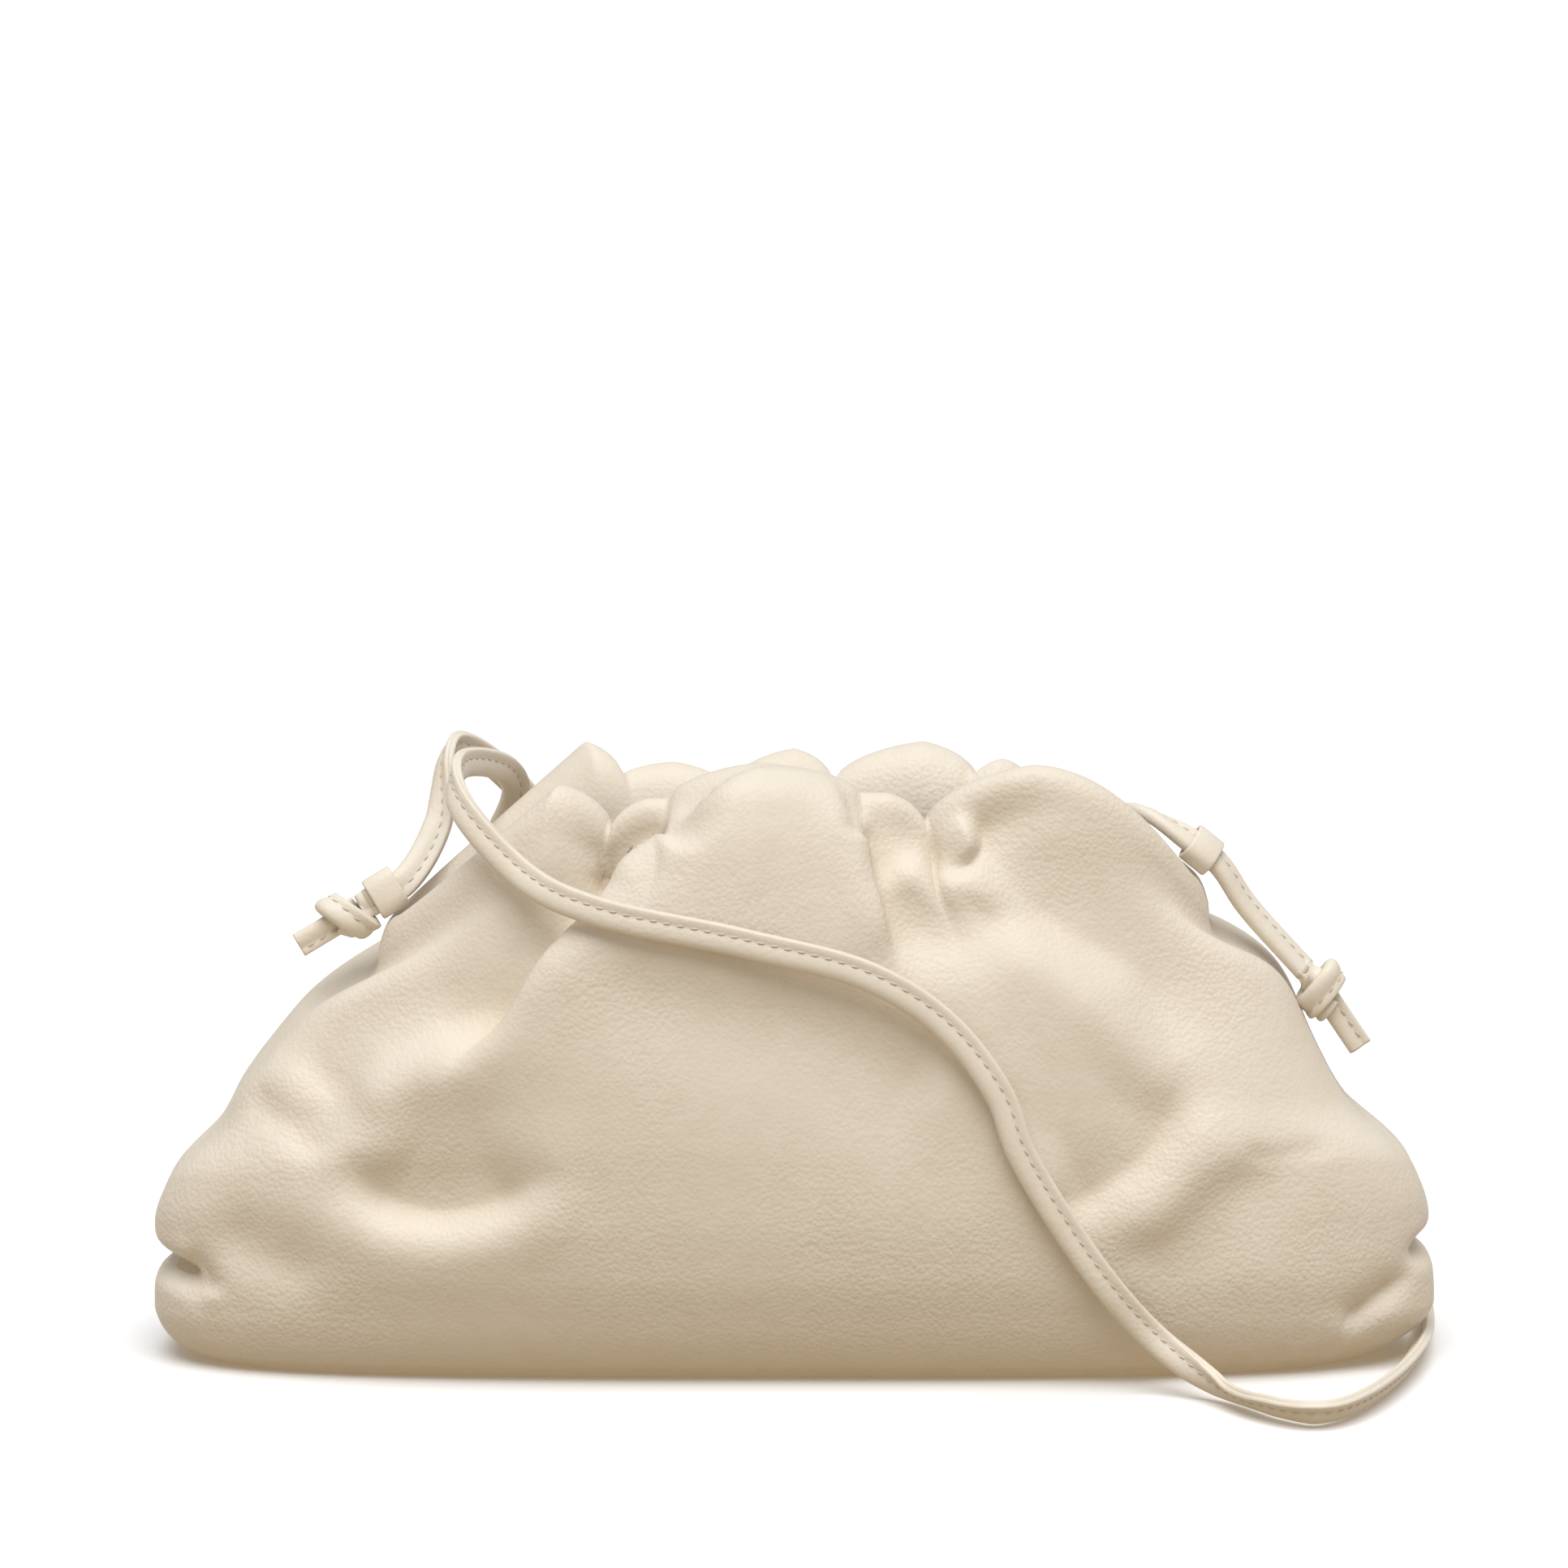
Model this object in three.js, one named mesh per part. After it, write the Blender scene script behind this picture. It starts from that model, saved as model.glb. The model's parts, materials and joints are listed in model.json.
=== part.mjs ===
import * as THREE from 'three';

// A small soft pouch bag: one thin leather shell gathered over a hidden hinged frame, two leather
// strap loops at the ends of the mouth, and a slim shoulder strap that runs through both loops and
// is stopped outside each of them by an overhand knot with a short tail.
// Millimetres, +Z up, -Y to the front. The origin is the middle of the flat foot that it stands on.

// Driving sizes of the shell
const BAG_WIDTH = 222;        // over the bulges at both ends
const BAG_DEPTH = 62;         // over the front and back bulges
const BAG_HEIGHT = 105.5;     // floor to the highest gather
const LEATHER = 2;            // wall
const MOUTH_LENGTH = 144;     // outside of the gathered mouth, end to end
const MOUTH_GAP = 7;          // free slit between the front and back facings
const ROLL_THICKNESS = 15;    // how far the fullest gather stands out from the facing
const ROLL_HEIGHT = 6.5;      // from the top of the wall to the crest of the gathers
const END_ROLL = 9;           // the same roll where it turns round the ends of the mouth
const ROLL_LEAN = 28;         // degrees that the wall leans in where the roll begins
const FACING_DROP = 16;       // how far the facing hangs below the top of the wall
const ARCH_DROP = 8;          // from the highest gather to the top of the wall at the middle
const LEFT_MOUTH_DROP = 30.5; // and to the top of the wall at the left end of the mouth
const RIGHT_MOUTH_DROP = 22.5;
const LEFT_SHOULDER = 2;      // roundness of the arch on each side, 2 is an ellipse
const RIGHT_SHOULDER = 2.4;

// Driving sizes of what is on it
const CLEARANCE = 0.35;       // between pieces that touch
const FRAME_THICKNESS = 1.3;
const FRAME_HEIGHT = 4;
const FRAME_LIFT = 1.2;       // above the lower edge of the facing
const FRAME_PLAY = 1.3;       // behind the facing
const STRAP_WIDTH = 5;
const STRAP_THICKNESS = 2.4;
const STRAP_ROUND = 0.7;      // bevel of the strap's four edges
const KNOT_LENGTH = 7.2;      // along the strap
const KNOT_WIDTH = 8.6;
const KNOT_THICKNESS = 7.4;
const KNOT_END = 0.45;        // share of its width that the knot has left at its ends
const TURN_HEIGHT = 0.9;      // the flat turn above the knot's body
const TURN_WIDTH = 1.7;       // half the width of the turn's flat
const TURN_SWING = 0.2;       // share of the knot's length that the turn leans to each end
const LEFT_TAIL = 6.4;        // free end past each knot
const RIGHT_TAIL = 9;
const TAIL_WIDTH = 3.9;       // the strap's free end, pinched by the knot
const LOOP_LENGTH = 5.4;      // along the strap
const KNOT_PLAY = 1.2;        // between the left loop and the knot that it stops
const LOOP_WALL = 0.8;
const LOOP_PLAY = 0.5;        // between the strap and the loop round it
const LOOP_STRAIGHT = 1;      // the strap stays straight this far past a loop
const LEFT_LOOP_INSET = 1.7;  // from the end of the mouth to the middle of the loop
const RIGHT_LOOP_INSET = 2;
const LEFT_LOOP_DROP = 24.6;  // from the highest gather to the middle of the loop
const RIGHT_LOOP_DROP = 17.2;

// How finely the shell is faceted
const MERIDIANS = 92;
const FLOOR_RINGS = [0.35, 0.7];
const WALL_RISES = [0, 0.03, 0.075, 0.12, 0.165, 0.21, 0.26, 0.32, 0.39, 0.46, 0.53, 0.6, 0.67, 0.74,
  0.8, 0.86, 0.91, 0.955, 1];
const ROLL_ANGLES = [50, 72, 95, 122, 150, 180];
const FACING_SHARES = [0.5, 1];
const LEFT_OUT = [1, 3, 5, 13, 15, 17, 21, 23, 24, 26, 27]; // the outside's rings that the inside leaves out
const FRAME_SKIP = 2;         // and the frame every second meridian
const FOLD_STEPS = 12;        // straight steps between two points of a fold's path
const CORNER_STEPS = 3;       // facets of a rounded corner of a loop
const STRAP_STEPS = 2;        // sections between two points of the strap's route
const KNOT_SIDES = 16;
const KNOT_RINGS = 12;

// Cross sections of the body from the foot to the top of the wall. rise is a share of the wall's
// height, left and right are shares of the half width, depth of the half depth, and square is the
// roundness of the outline seen from above, 2 being an ellipse.
const SECTIONS = [
  { rise: 0, left: 0.9, right: 0.85, depth: 0.6, square: 3.4 },
  { rise: 0.03, left: 0.96, right: 0.925, depth: 0.74, square: 3.1 },
  { rise: 0.075, left: 0.99, right: 0.98, depth: 0.84, square: 2.9 },
  { rise: 0.12, left: 1, right: 1, depth: 0.9, square: 2.8 },
  { rise: 0.21, left: 0.999, right: 0.996, depth: 0.975, square: 2.7 },
  { rise: 0.31, left: 0.998, right: 0.989, depth: 1, square: 2.6 },
  { rise: 0.41, left: 0.975, right: 0.96, depth: 0.99, square: 2.6 },
  { rise: 0.53, left: 0.9, right: 0.864, depth: 0.955, square: 2.5 },
  { rise: 0.62, left: 0.866, right: 0.824, depth: 0.915, square: 2.5 },
  { rise: 0.76, left: 0.79, right: 0.776, depth: 0.825, square: 2.5 },
  { rise: 0.83, left: 0.748, right: 0.75, depth: 0.77, square: 2.5 },
  { rise: 0.9, left: 0.716, right: 0.717, depth: 0.705, square: 2.6 },
  { rise: 0.95, left: 0.684, right: 0.683, depth: 0.65, square: 2.8 },
  { rise: 1, left: 0.649, right: 0.649, depth: 0.58, square: 3 },
];
const GATHERS_START = 0.72;   // the share of the wall's height where the gathers begin to show
const SLIT_SQUARE = 4;        // roundness of the slit's ends seen from above

// The gathers along the mouth. at is a share of half the mouth's length, crest a share of the
// bag's height, and thick a share of the roll's thickness. A crease is sharp, a lobe is round, and
// at its ends the mouth rises in a straight or a rounded slope.
const FRONT_GATHERS = [
  { at: -1, kind: 'straight', crest: 0.732, thick: 0.7 },
  { at: -0.59, kind: 'lobe', crest: 0.962, thick: 0.92 },
  { at: -0.462, kind: 'crease', crest: 0.885, thick: 0.8 },
  { at: -0.37, kind: 'lobe', crest: 0.94, thick: 0.86 },
  { at: -0.31, kind: 'crease', crest: 0.94, thick: 0.86 },
  { at: -0.09, kind: 'lobe', crest: 1, thick: 1 },
  { at: 0.16, kind: 'crease', crest: 0.95, thick: 0.88 },
  { at: 0.235, kind: 'lobe', crest: 0.95, thick: 0.9 },
  { at: 0.33, kind: 'crease', crest: 0.893, thick: 0.8 },
  { at: 0.6, kind: 'lobe', crest: 0.995, thick: 1 },
  { at: 1, kind: 'rounded', crest: 0.8, thick: 0.8 },
];
const BACK_GATHERS = [
  { at: -1, kind: 'straight', crest: 0.732, thick: 0.7 },
  { at: -0.53, kind: 'lobe', crest: 1, thick: 0.97 },
  { at: -0.44, kind: 'crease', crest: 0.945, thick: 0.52 },
  { at: -0.31, kind: 'lobe', crest: 0.968, thick: 0.85 },
  { at: -0.17, kind: 'crease', crest: 0.925, thick: 0.5 },
  { at: 0, kind: 'lobe', crest: 0.99, thick: 0.85 },
  { at: 0.1, kind: 'crease', crest: 0.935, thick: 0.5 },
  { at: 0.325, kind: 'lobe', crest: 1, thick: 1 },
  { at: 0.46, kind: 'crease', crest: 0.945, thick: 0.5 },
  { at: 0.53, kind: 'lobe', crest: 0.975, thick: 0.75 },
  { at: 0.6, kind: 'crease', crest: 0.93, thick: 0.55 },
  { at: 0.68, kind: 'lobe', crest: 0.935, thick: 0.8 },
  { at: 0.82, kind: 'crease', crest: 0.85, thick: 0.5 },
  { at: 1, kind: 'rounded', crest: 0.8, thick: 0.8 },
];

// The folds of the body. A path's points are [share of the half width, share of the height] on the
// front or back, and [distance round the end as a share of the half width, share of the height] on
// the left or right end, front first. width and other are shares of the height: how wide the fold is on
// its path's left and right hand. depth is a share of the bag's depth: above 0 the leather stands out,
// below 0 it sinks in. An overlap lifts the side that it names by its depth and tucks the other one in.
// sharp is the profile's power, 2 being round. start and end are the shares of the path over which the
// fold dies out, and ends the share of its depth that it keeps there.
const FOLDS = [
  { on: 'front', path: [[-0.19, 0.99], [-0.207, 0.955], [-0.264, 0.873], [-0.302, 0.805],
    [-0.376, 0.698], [-0.441, 0.601], [-0.496, 0.552], [-0.545, 0.49]],
    width: 0.3, other: 0.12, depth: 0.075, tuck: 0.075, lift: 'right', start: 0.12, end: 0.45 },
  { on: 'front', path: [[0.1, 0.975], [0.112, 0.914], [0.124, 0.862], [0.135, 0.81],
    [0.147, 0.741], [0.16, 0.684]],
    width: 0.07, other: 0.14, depth: 0.035, tuck: 0.055, lift: 'left', start: 0.12, end: 0.4 },
  { on: 'front', path: [[-0.303, 0.93], [-0.302, 0.882], [-0.291, 0.863], [-0.265, 0.85]],
    width: 0.03, other: 0.02, depth: -0.06, sharp: 1.3 },
  { on: 'front', path: [[-0.793, 0.416], [-0.723, 0.457], [-0.688, 0.515], [-0.633, 0.56],
    [-0.564, 0.6], [-0.482, 0.63], [-0.4, 0.66]],
    width: 0.16, other: 0.06, depth: -0.07 },
  { on: 'front', path: [[-0.62, 0.51], [-0.53, 0.52]],
    width: 0.09, other: 0.1, depth: 0.045, ends: 1 },
  { on: 'front', path: [[-0.674, 0.4], [-0.653, 0.343], [-0.605, 0.305], [-0.537, 0.295],
    [-0.469, 0.311], [-0.415, 0.341], [-0.35, 0.39]],
    width: 0.15, other: 0.045, depth: -0.075, sharp: 1.6 },
  { on: 'front', path: [[-0.82, 0.34], [-0.688, 0.266], [-0.578, 0.245], [-0.469, 0.262],
    [-0.367, 0.3], [-0.29, 0.34]],
    width: 0.05, other: 0.08, depth: 0.02 },
  { on: 'front', path: [[-0.85, 0.225], [-0.78, 0.195]],
    width: 0.07, other: 0.06, depth: -0.028, ends: 1 },
  { on: 'front', path: [[-0.822, 0.446], [-0.743, 0.4]],
    width: 0.035, other: 0.03, depth: -0.018, ends: 1 },
  { on: 'front', path: [[-0.95, 0.2], [-0.914, 0.167], [-0.9, 0.125]],
    width: 0.03, other: 0.02, depth: -0.03, sharp: 1.3 },
  { on: 'front', path: [[0.263, 0.96], [0.303, 0.906], [0.343, 0.853], [0.397, 0.791],
    [0.465, 0.741], [0.54, 0.69], [0.585, 0.61], [0.592, 0.534], [0.577, 0.465]],
    width: 0.18, other: 0.075, depth: -0.082, start: 0.3, end: 0.35 },
  { on: 'front', path: [[0.253, 0.947], [0.286, 0.879], [0.311, 0.838], [0.333, 0.777],
    [0.37, 0.702], [0.431, 0.638], [0.492, 0.566], [0.526, 0.488]],
    width: 0.035, other: 0.09, depth: 0.016 },
  { on: 'front', path: [[0.36, 0.325], [0.424, 0.318], [0.485, 0.349], [0.54, 0.397],
    [0.577, 0.465], [0.59, 0.55]],
    width: 0.12, other: 0.05, depth: -0.055, sharp: 1.6 },
  { on: 'front', path: [[0.629, 0.5], [0.615, 0.394], [0.547, 0.306], [0.466, 0.245]],
    width: 0.1, other: 0.06, depth: 0.024 },
  { on: 'front', path: [[0.45, 0.185], [0.574, 0.235], [0.67, 0.32], [0.837, 0.345]],
    width: 0.05, other: 0.1, depth: -0.028 },
  { on: 'front', path: [[0.11, 0.745], [0.181, 0.735], [0.248, 0.745], [0.303, 0.775],
    [0.335, 0.82]],
    width: 0.09, other: 0.07, depth: -0.038 },
  { on: 'front', path: [[0.15, 0.895], [0.199, 0.865], [0.24, 0.86], [0.275, 0.89]],
    width: 0.045, other: 0.055, depth: 0.04 },
  { on: 'front', path: [[-0.33, 0.715], [-0.26, 0.66], [-0.13, 0.62], [-0.035, 0.605],
    [0.032, 0.585], [0.099, 0.55], [0.167, 0.51], [0.235, 0.48]],
    width: 0.085, other: 0.12, depth: -0.03, start: 0.2, end: 0.15 },
  { on: 'front', path: [[0.67, 0.383], [0.746, 0.38], [0.838, 0.386]],
    width: 0.02, other: 0.02, depth: -0.008 },
  { on: 'front', path: [[0.97, 0.17], [0.911, 0.13], [0.876, 0.104], [0.834, 0.076]],
    width: 0.02, other: 0.035, depth: -0.045, sharp: 1.4 },
  { on: 'back', path: [[-0.29, 0.92], [-0.34, 0.76], [-0.44, 0.6]],
    width: 0.058, other: 0.058, depth: -0.064 },
  { on: 'back', path: [[0.07, 0.92], [0.06, 0.76], [0, 0.58]],
    width: 0.06, other: 0.06, depth: -0.068 },
  { on: 'back', path: [[0.3, 0.92], [0.36, 0.74], [0.47, 0.6]],
    width: 0.058, other: 0.058, depth: -0.064 },
  { on: 'back', path: [[-0.11, 0.9], [-0.13, 0.76], [-0.17, 0.66]],
    width: 0.05, other: 0.05, depth: -0.05 },
  { on: 'back', path: [[-0.21, 0.88], [-0.26, 0.62]],
    width: 0.06, other: 0.06, depth: 0.045 },
  { on: 'back', path: [[0.2, 0.88], [0.22, 0.6]],
    width: 0.07, other: 0.07, depth: 0.055 },
  { on: 'back', path: [[0.63, 0.56], [0.6, 0.42], [0.48, 0.36], [0.36, 0.43]],
    width: 0.068, other: 0.068, depth: -0.06 },
  { on: 'back', path: [[0.48, 0.54], [0.54, 0.47]],
    width: 0.075, other: 0.075, depth: 0.045 },
  { on: 'back', path: [[-0.66, 0.56], [-0.58, 0.42], [-0.42, 0.38]],
    width: 0.066, other: 0.066, depth: -0.058 },
  { on: 'back', path: [[-0.7, 0.3], [-0.3, 0.24], [0.1, 0.26], [0.5, 0.22]],
    width: 0.07, other: 0.07, depth: 0.03 },
  { on: 'left', path: [[-0.1, 0.13], [-0.05, 0.16], [0, 0.168], [0.05, 0.17], [0.1, 0.15]],
    width: 0.024, other: 0.024, depth: -0.075 },
  { on: 'right', path: [[-0.07, 0.19], [-0.02, 0.195], [0, 0.195], [0.04, 0.2], [0.09, 0.19]],
    width: 0.024, other: 0.024, depth: -0.06 },
];
const OVERLAP_SHARP = 0.0125; // how quickly an overlap drops off, as a share of the height
const TAPER = 0.3;            // share of a fold's length over which each end dies out
const NEAR = 0.3;             // distance from a fold's line below which all counts as on it
const SIDE_BLEND = 0.7;       // how softly a fold's two widths pass into each other at its ends
const FOLDS_START = 0.06;     // share of the wall's height over which the folds grow out of the foot
const FOLDS_GONE = 100;       // degrees of the roll by which they have died out
const CREASE_STEEP = 0.75;    // how steeply a gather leaves its crease, 1 being upright
const CREST_POWER = 1.8;      // how late the gathers' heights show on the wall
const PLAIN_THICK = 0.9;      // share of the roll's thickness without gathers

const RIGHT = [1, 0, 0];
const FRONT = [0, -1, 0];
const BACK = [0, 1, 0];
const UP = [0, 0, 1];

// The strap's route along its middle, from the left knot to the right one, and the way its stitched
// face looks there. It rises from the left loop, drops behind the bag, turns round on the floor,
// comes back over the left shoulder and down the front, passes round the right end on the floor,
// turns round behind and climbs the back to the right loop.
const LEFT_LOOP = [-(MOUTH_LENGTH / 2 - LEFT_LOOP_INSET), 0.4, BAG_HEIGHT - LEFT_LOOP_DROP];
const LEFT_LOOP_WAY = [0.84, 0.16, 0.50];
const RIGHT_LOOP = [MOUTH_LENGTH / 2 - RIGHT_LOOP_INSET, 0.6, BAG_HEIGHT - RIGHT_LOOP_DROP];
const RIGHT_LOOP_WAY = [0.78, 0, -0.63];
const RIGHT_KNOT = [90.7, 0.6, 64.3];
const LEFT_TAIL_WAY = [-0.86, -0.14, -0.50];
const RIGHT_TAIL_WAY = [0.56, 0, -0.83];
const STRAP_ROUTE = [
  { at: [-61.8, 8.2, 91.4], face: [0.30, 0.90, 0] },
  { at: [-60.6, 15.0, 101.8], face: [0.90, 0.10, -0.40] },
  { at: [-58.8, 20.5, 103.4], face: [0.70, -0.60, -0.40] },
  { at: [-47.5, 31.0, 92.5], face: FRONT },
  { at: [-8.0, 40.5, 12.5], face: FRONT },
  { at: [13.0, 62.0, 2.9], face: [0.80, 0.50, 0] },
  { at: [-38.0, 78.0, 2.9], face: UP },
  { at: [-97.5, 57.0, 2.9], face: RIGHT },
  { at: [-84.0, 36.5, 18.0], face: BACK },
  { at: [-54.0, 28.0, 82.0], face: BACK },
  { at: [-48.8, 22.5, 94.5], face: [-0.10, 0.99, 0.10] },
  { at: [-50.2, 16.5, 99.6], face: [-0.60, 0.70, 0.40] },
  { at: [-57.1, 0.5, 103.0], face: [-0.99, 0.10, 0] },
  { at: [-56.8, -12.5, 98.6], face: [-0.55, -0.80, 0.10] },
  { at: [-45.4, -20.8, 87.4], face: FRONT },
  { at: [-34.1, -28.0, 83.2], face: FRONT },
  { at: [-8.0, -29.4, 77.6], face: FRONT },
  { at: [13.0, -30.2, 72.0], face: FRONT },
  { at: [25.5, -30.4, 63.8], face: FRONT },
  { at: [34.5, -31.4, 52.1], face: FRONT },
  { at: [38.2, -32.1, 42.2], face: FRONT },
  { at: [51.8, -32.0, 20.6], face: FRONT },
  { at: [62.0, -30.2, 8.9], face: FRONT },
  { at: [71.5, -36.5, 3.4], face: [0, -0.85, -0.50] },
  { at: [79.5, -47.5, 2.9], face: [0, -0.78, -0.62] },
  { at: [86.5, -52.0, 2.9], face: [0.10, -0.77, -0.63] },
  { at: [93.5, -46.0, 2.9], face: [0.60, -0.50, -0.60] },
  { at: [109.5, 0, 2.9], face: [0.85, 0, -0.50] },
  { at: [104.0, 57.0, 2.9], face: [0.85, 0.50, 0] },
  { at: [66.0, 78.0, 2.9], face: UP },
  { at: [27.5, 62.0, 2.9], face: RIGHT },
  { at: [33.0, 39.5, 12.0], face: BACK },
  { at: [51.5, 34.5, 50.0], face: BACK },
  { at: [57.8, 19.5, 87.0], face: [0, 0.85, 0.50] },
  { at: [58.6, 10.5, 93.2], face: [0.10, 0.50, 0.85] },
  { at: [61.0, 3.2, 93.6], face: [0.20, 0.20, 0.96] },
];
const RIGHT_STRAND = [
  { at: [77.8, 1.0, 78.7], face: [0.62, -0.55, 0.50] },
];

const LEATHER_LOOK = new THREE.MeshStandardMaterial({ color: 0xe3d6c2, roughness: 0.55, metalness: 0 });
const STRAP_LOOK = new THREE.MeshStandardMaterial({ color: 0xe6dac8, roughness: 0.5, metalness: 0 });
const FRAME_LOOK = new THREE.MeshStandardMaterial({ color: 0x9a9a98, roughness: 0.35, metalness: 1 });

const { clamp, lerp, smoothstep, degToRad } = THREE.MathUtils;

// A column of a table at a place, through a smooth curve that never overshoots its rows.
function column(table, key, at, name) {
  const last = table.length - 1;
  let k = 0;
  while (k < last - 1 && at > table[k + 1][key]) k += 1;
  const slope = (j) => {
    const before = table[Math.max(j - 1, 0)];
    const after = table[Math.min(j + 1, last)];
    const left = (table[j][name] - before[name]) / Math.max(table[j][key] - before[key], 1e-6);
    const right = (after[name] - table[j][name]) / Math.max(after[key] - table[j][key], 1e-6);
    if (j === 0) return right;
    if (j === last) return left;
    return left * right <= 0 ? 0 : (2 * left * right) / (left + right);
  };
  const a = table[k];
  const b = table[k + 1];
  const span = b[key] - a[key];
  const s = clamp((at - a[key]) / span, 0, 1);
  return (2 * s ** 3 - 3 * s ** 2 + 1) * a[name] + (s ** 3 - 2 * s ** 2 + s) * span * slope(k)
    + (3 * s ** 2 - 2 * s ** 3) * b[name] + (s ** 3 - s ** 2) * span * slope(k + 1);
}

// A column of the gathers: it leaves a crease steeply and comes over a lobe in a round arc.
function gather(side, at, name) {
  const table = side < 0 ? FRONT_GATHERS : BACK_GATHERS;
  let k = 0;
  while (k < table.length - 2 && at > table[k + 1].at) k += 1;
  const turned = table[k].kind === 'lobe' || table[k + 1].at === 1;
  const low = turned ? table[k + 1] : table[k];
  const lobe = turned ? table[k] : table[k + 1];
  const s = clamp((at - low.at) / (lobe.at - low.at), 0, 1);
  const rounded = s * (2 - s);
  const shares = { straight: s, rounded, crease: lerp(s, Math.sqrt(rounded), CREASE_STEEP) };
  return lerp(low[name], lobe[name], shares[low.kind]);
}

// Height of the top of the wall, without the gathers.
function arch(across) {
  const drop = across < 0 ? LEFT_MOUTH_DROP : RIGHT_MOUTH_DROP;
  const round = across < 0 ? LEFT_SHOULDER : RIGHT_SHOULDER;
  return BAG_HEIGHT - drop + (drop - ARCH_DROP) * (1 - Math.abs(across) ** round) ** (1 / round);
}

// How far an outline of that roundness has come out sideways at a share of its half length.
const swing = (across, square) => Math.max(1 - Math.abs(across) ** square, 0) ** (1 / square);

// The share of the half width that the body reaches on the left or right side at a height.
const widthShare = (across, rise) => column(SECTIONS, 'rise', rise, across < 0 ? 'left' : 'right');

// A point of the smooth body, before the folds. across runs from -1 at the left end to 1 at the
// right end, side is -1 on the front and 1 on the back. The plain body hasn't even its gathers.
function wallPoint(across, side, rise, plain = false) {
  const gathered = smoothstep(rise, GATHERS_START, 1);
  const thick = plain ? PLAIN_THICK : gather(side, across, 'thick');
  const leanTo = MOUTH_GAP / 2 + ROLL_THICKNESS * thick - (BAG_DEPTH / 2) * SECTIONS.at(-1).depth;
  const halfDepth = (BAG_DEPTH / 2) * column(SECTIONS, 'rise', rise, 'depth') + leanTo * gathered;
  const halfWidth = lerp((BAG_WIDTH / 2) * widthShare(across, rise), MOUTH_LENGTH / 2, gathered ** 2);
  const top = plain ? arch(across) : gather(side, across, 'crest') * BAG_HEIGHT - ROLL_HEIGHT;
  return new THREE.Vector3(
    halfWidth * across,
    side * halfDepth * swing(across, column(SECTIONS, 'rise', rise, 'square')),
    rise * arch(across) + (top - arch(across)) * gathered ** CREST_POWER,
  );
}

// The edge of the slit, at the height of the top of the wall.
function slitPoint(across, side, inset = 0, plain = false) {
  const top = wallPoint(across, side, 1, plain);
  const halfLength = MOUTH_LENGTH / 2 - END_ROLL + inset;
  const halfGap = (MOUTH_GAP / 2 + inset) * swing(across, SLIT_SQUARE);
  return new THREE.Vector3(halfLength * across, side * halfGap, top.z);
}

// A point on the roll of the gathers, from the top of the wall to the facing at 180 degrees.
function rollPoint(across, side, degrees, plain = false) {
  const outer = wallPoint(across, side, 1, plain);
  const inner = slitPoint(across, side, 0, plain);
  const start = degToRad(ROLL_LEAN);
  const turn = degToRad(degrees);
  const point = outer.clone().lerp(inner, (Math.cos(start) - Math.cos(turn)) / (Math.cos(start) + 1));
  point.z = outer.z + (ROLL_HEIGHT * (Math.sin(turn) - Math.sin(start))) / (1 - Math.sin(start));
  return point;
}

// A point on the facing that hangs down inside the mouth.
function facingPoint(across, side, share, plain = false) {
  const point = rollPoint(across, side, 180, plain);
  point.z = lerp(point.z, arch(across) - FACING_DROP, share);
  return point;
}

// The point of the smooth body at a share of the half width and of the height.
function placeOn(x, side, z) {
  let across = x;
  let rise = z;
  for (let i = 0; i < 8; i += 1) {
    rise = clamp((z * BAG_HEIGHT) / arch(across), 0, 1);
    across = clamp(x / widthShare(x, rise), -1, 1);
  }
  return wallPoint(across, side, rise);
}

// A fold's path as points on the smooth body, on one smooth curve.
function foldLine(fold) {
  const ends = { left: -1, right: 1 };
  const sides = { front: -1, back: 1 };
  const points = fold.path.map(([x, z]) => {
    if (fold.on in sides) return placeOn(x, sides[fold.on], z);
    return placeOn(ends[fold.on] * (1 - Math.abs(x)), x < 0 ? -1 : 1, z);
  });
  const curve = new THREE.CatmullRomCurve3(points, false, 'centripetal');
  return curve.getPoints(FOLD_STEPS * (points.length - 1));
}

const FOLD_LINES = FOLDS.map(foldLine);

// Where a point lies beside a line: how far along as a share, how far away and how far to its right.
// Each is a mean over the line's steps in which the nearest ones count most, so that it stays
// smooth on the inside of a bend.
function beside(line, point, normal) {
  const sum = { weight: 0, along: 0, distance: 0, right: 0 };
  const segment = new THREE.Line3();
  const foot = new THREE.Vector3();
  for (let i = 0; i + 1 < line.length; i += 1) {
    segment.set(line[i], line[i + 1]);
    const share = segment.closestPointToPointParameter(point, true);
    const gap = point.clone().sub(segment.at(share, foot));
    const right = segment.delta(new THREE.Vector3()).normalize().cross(normal);
    const weight = segment.distance() / (gap.lengthSq() + NEAR ** 2) ** 3;
    sum.weight += weight;
    sum.along += (weight * (i + share)) / (line.length - 1);
    sum.distance += weight * gap.length();
    sum.right += weight * gap.dot(right);
  }
  const { weight, ...means } = sum;
  return { along: means.along / weight, distance: means.distance / weight, right: means.right / weight };
}

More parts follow.
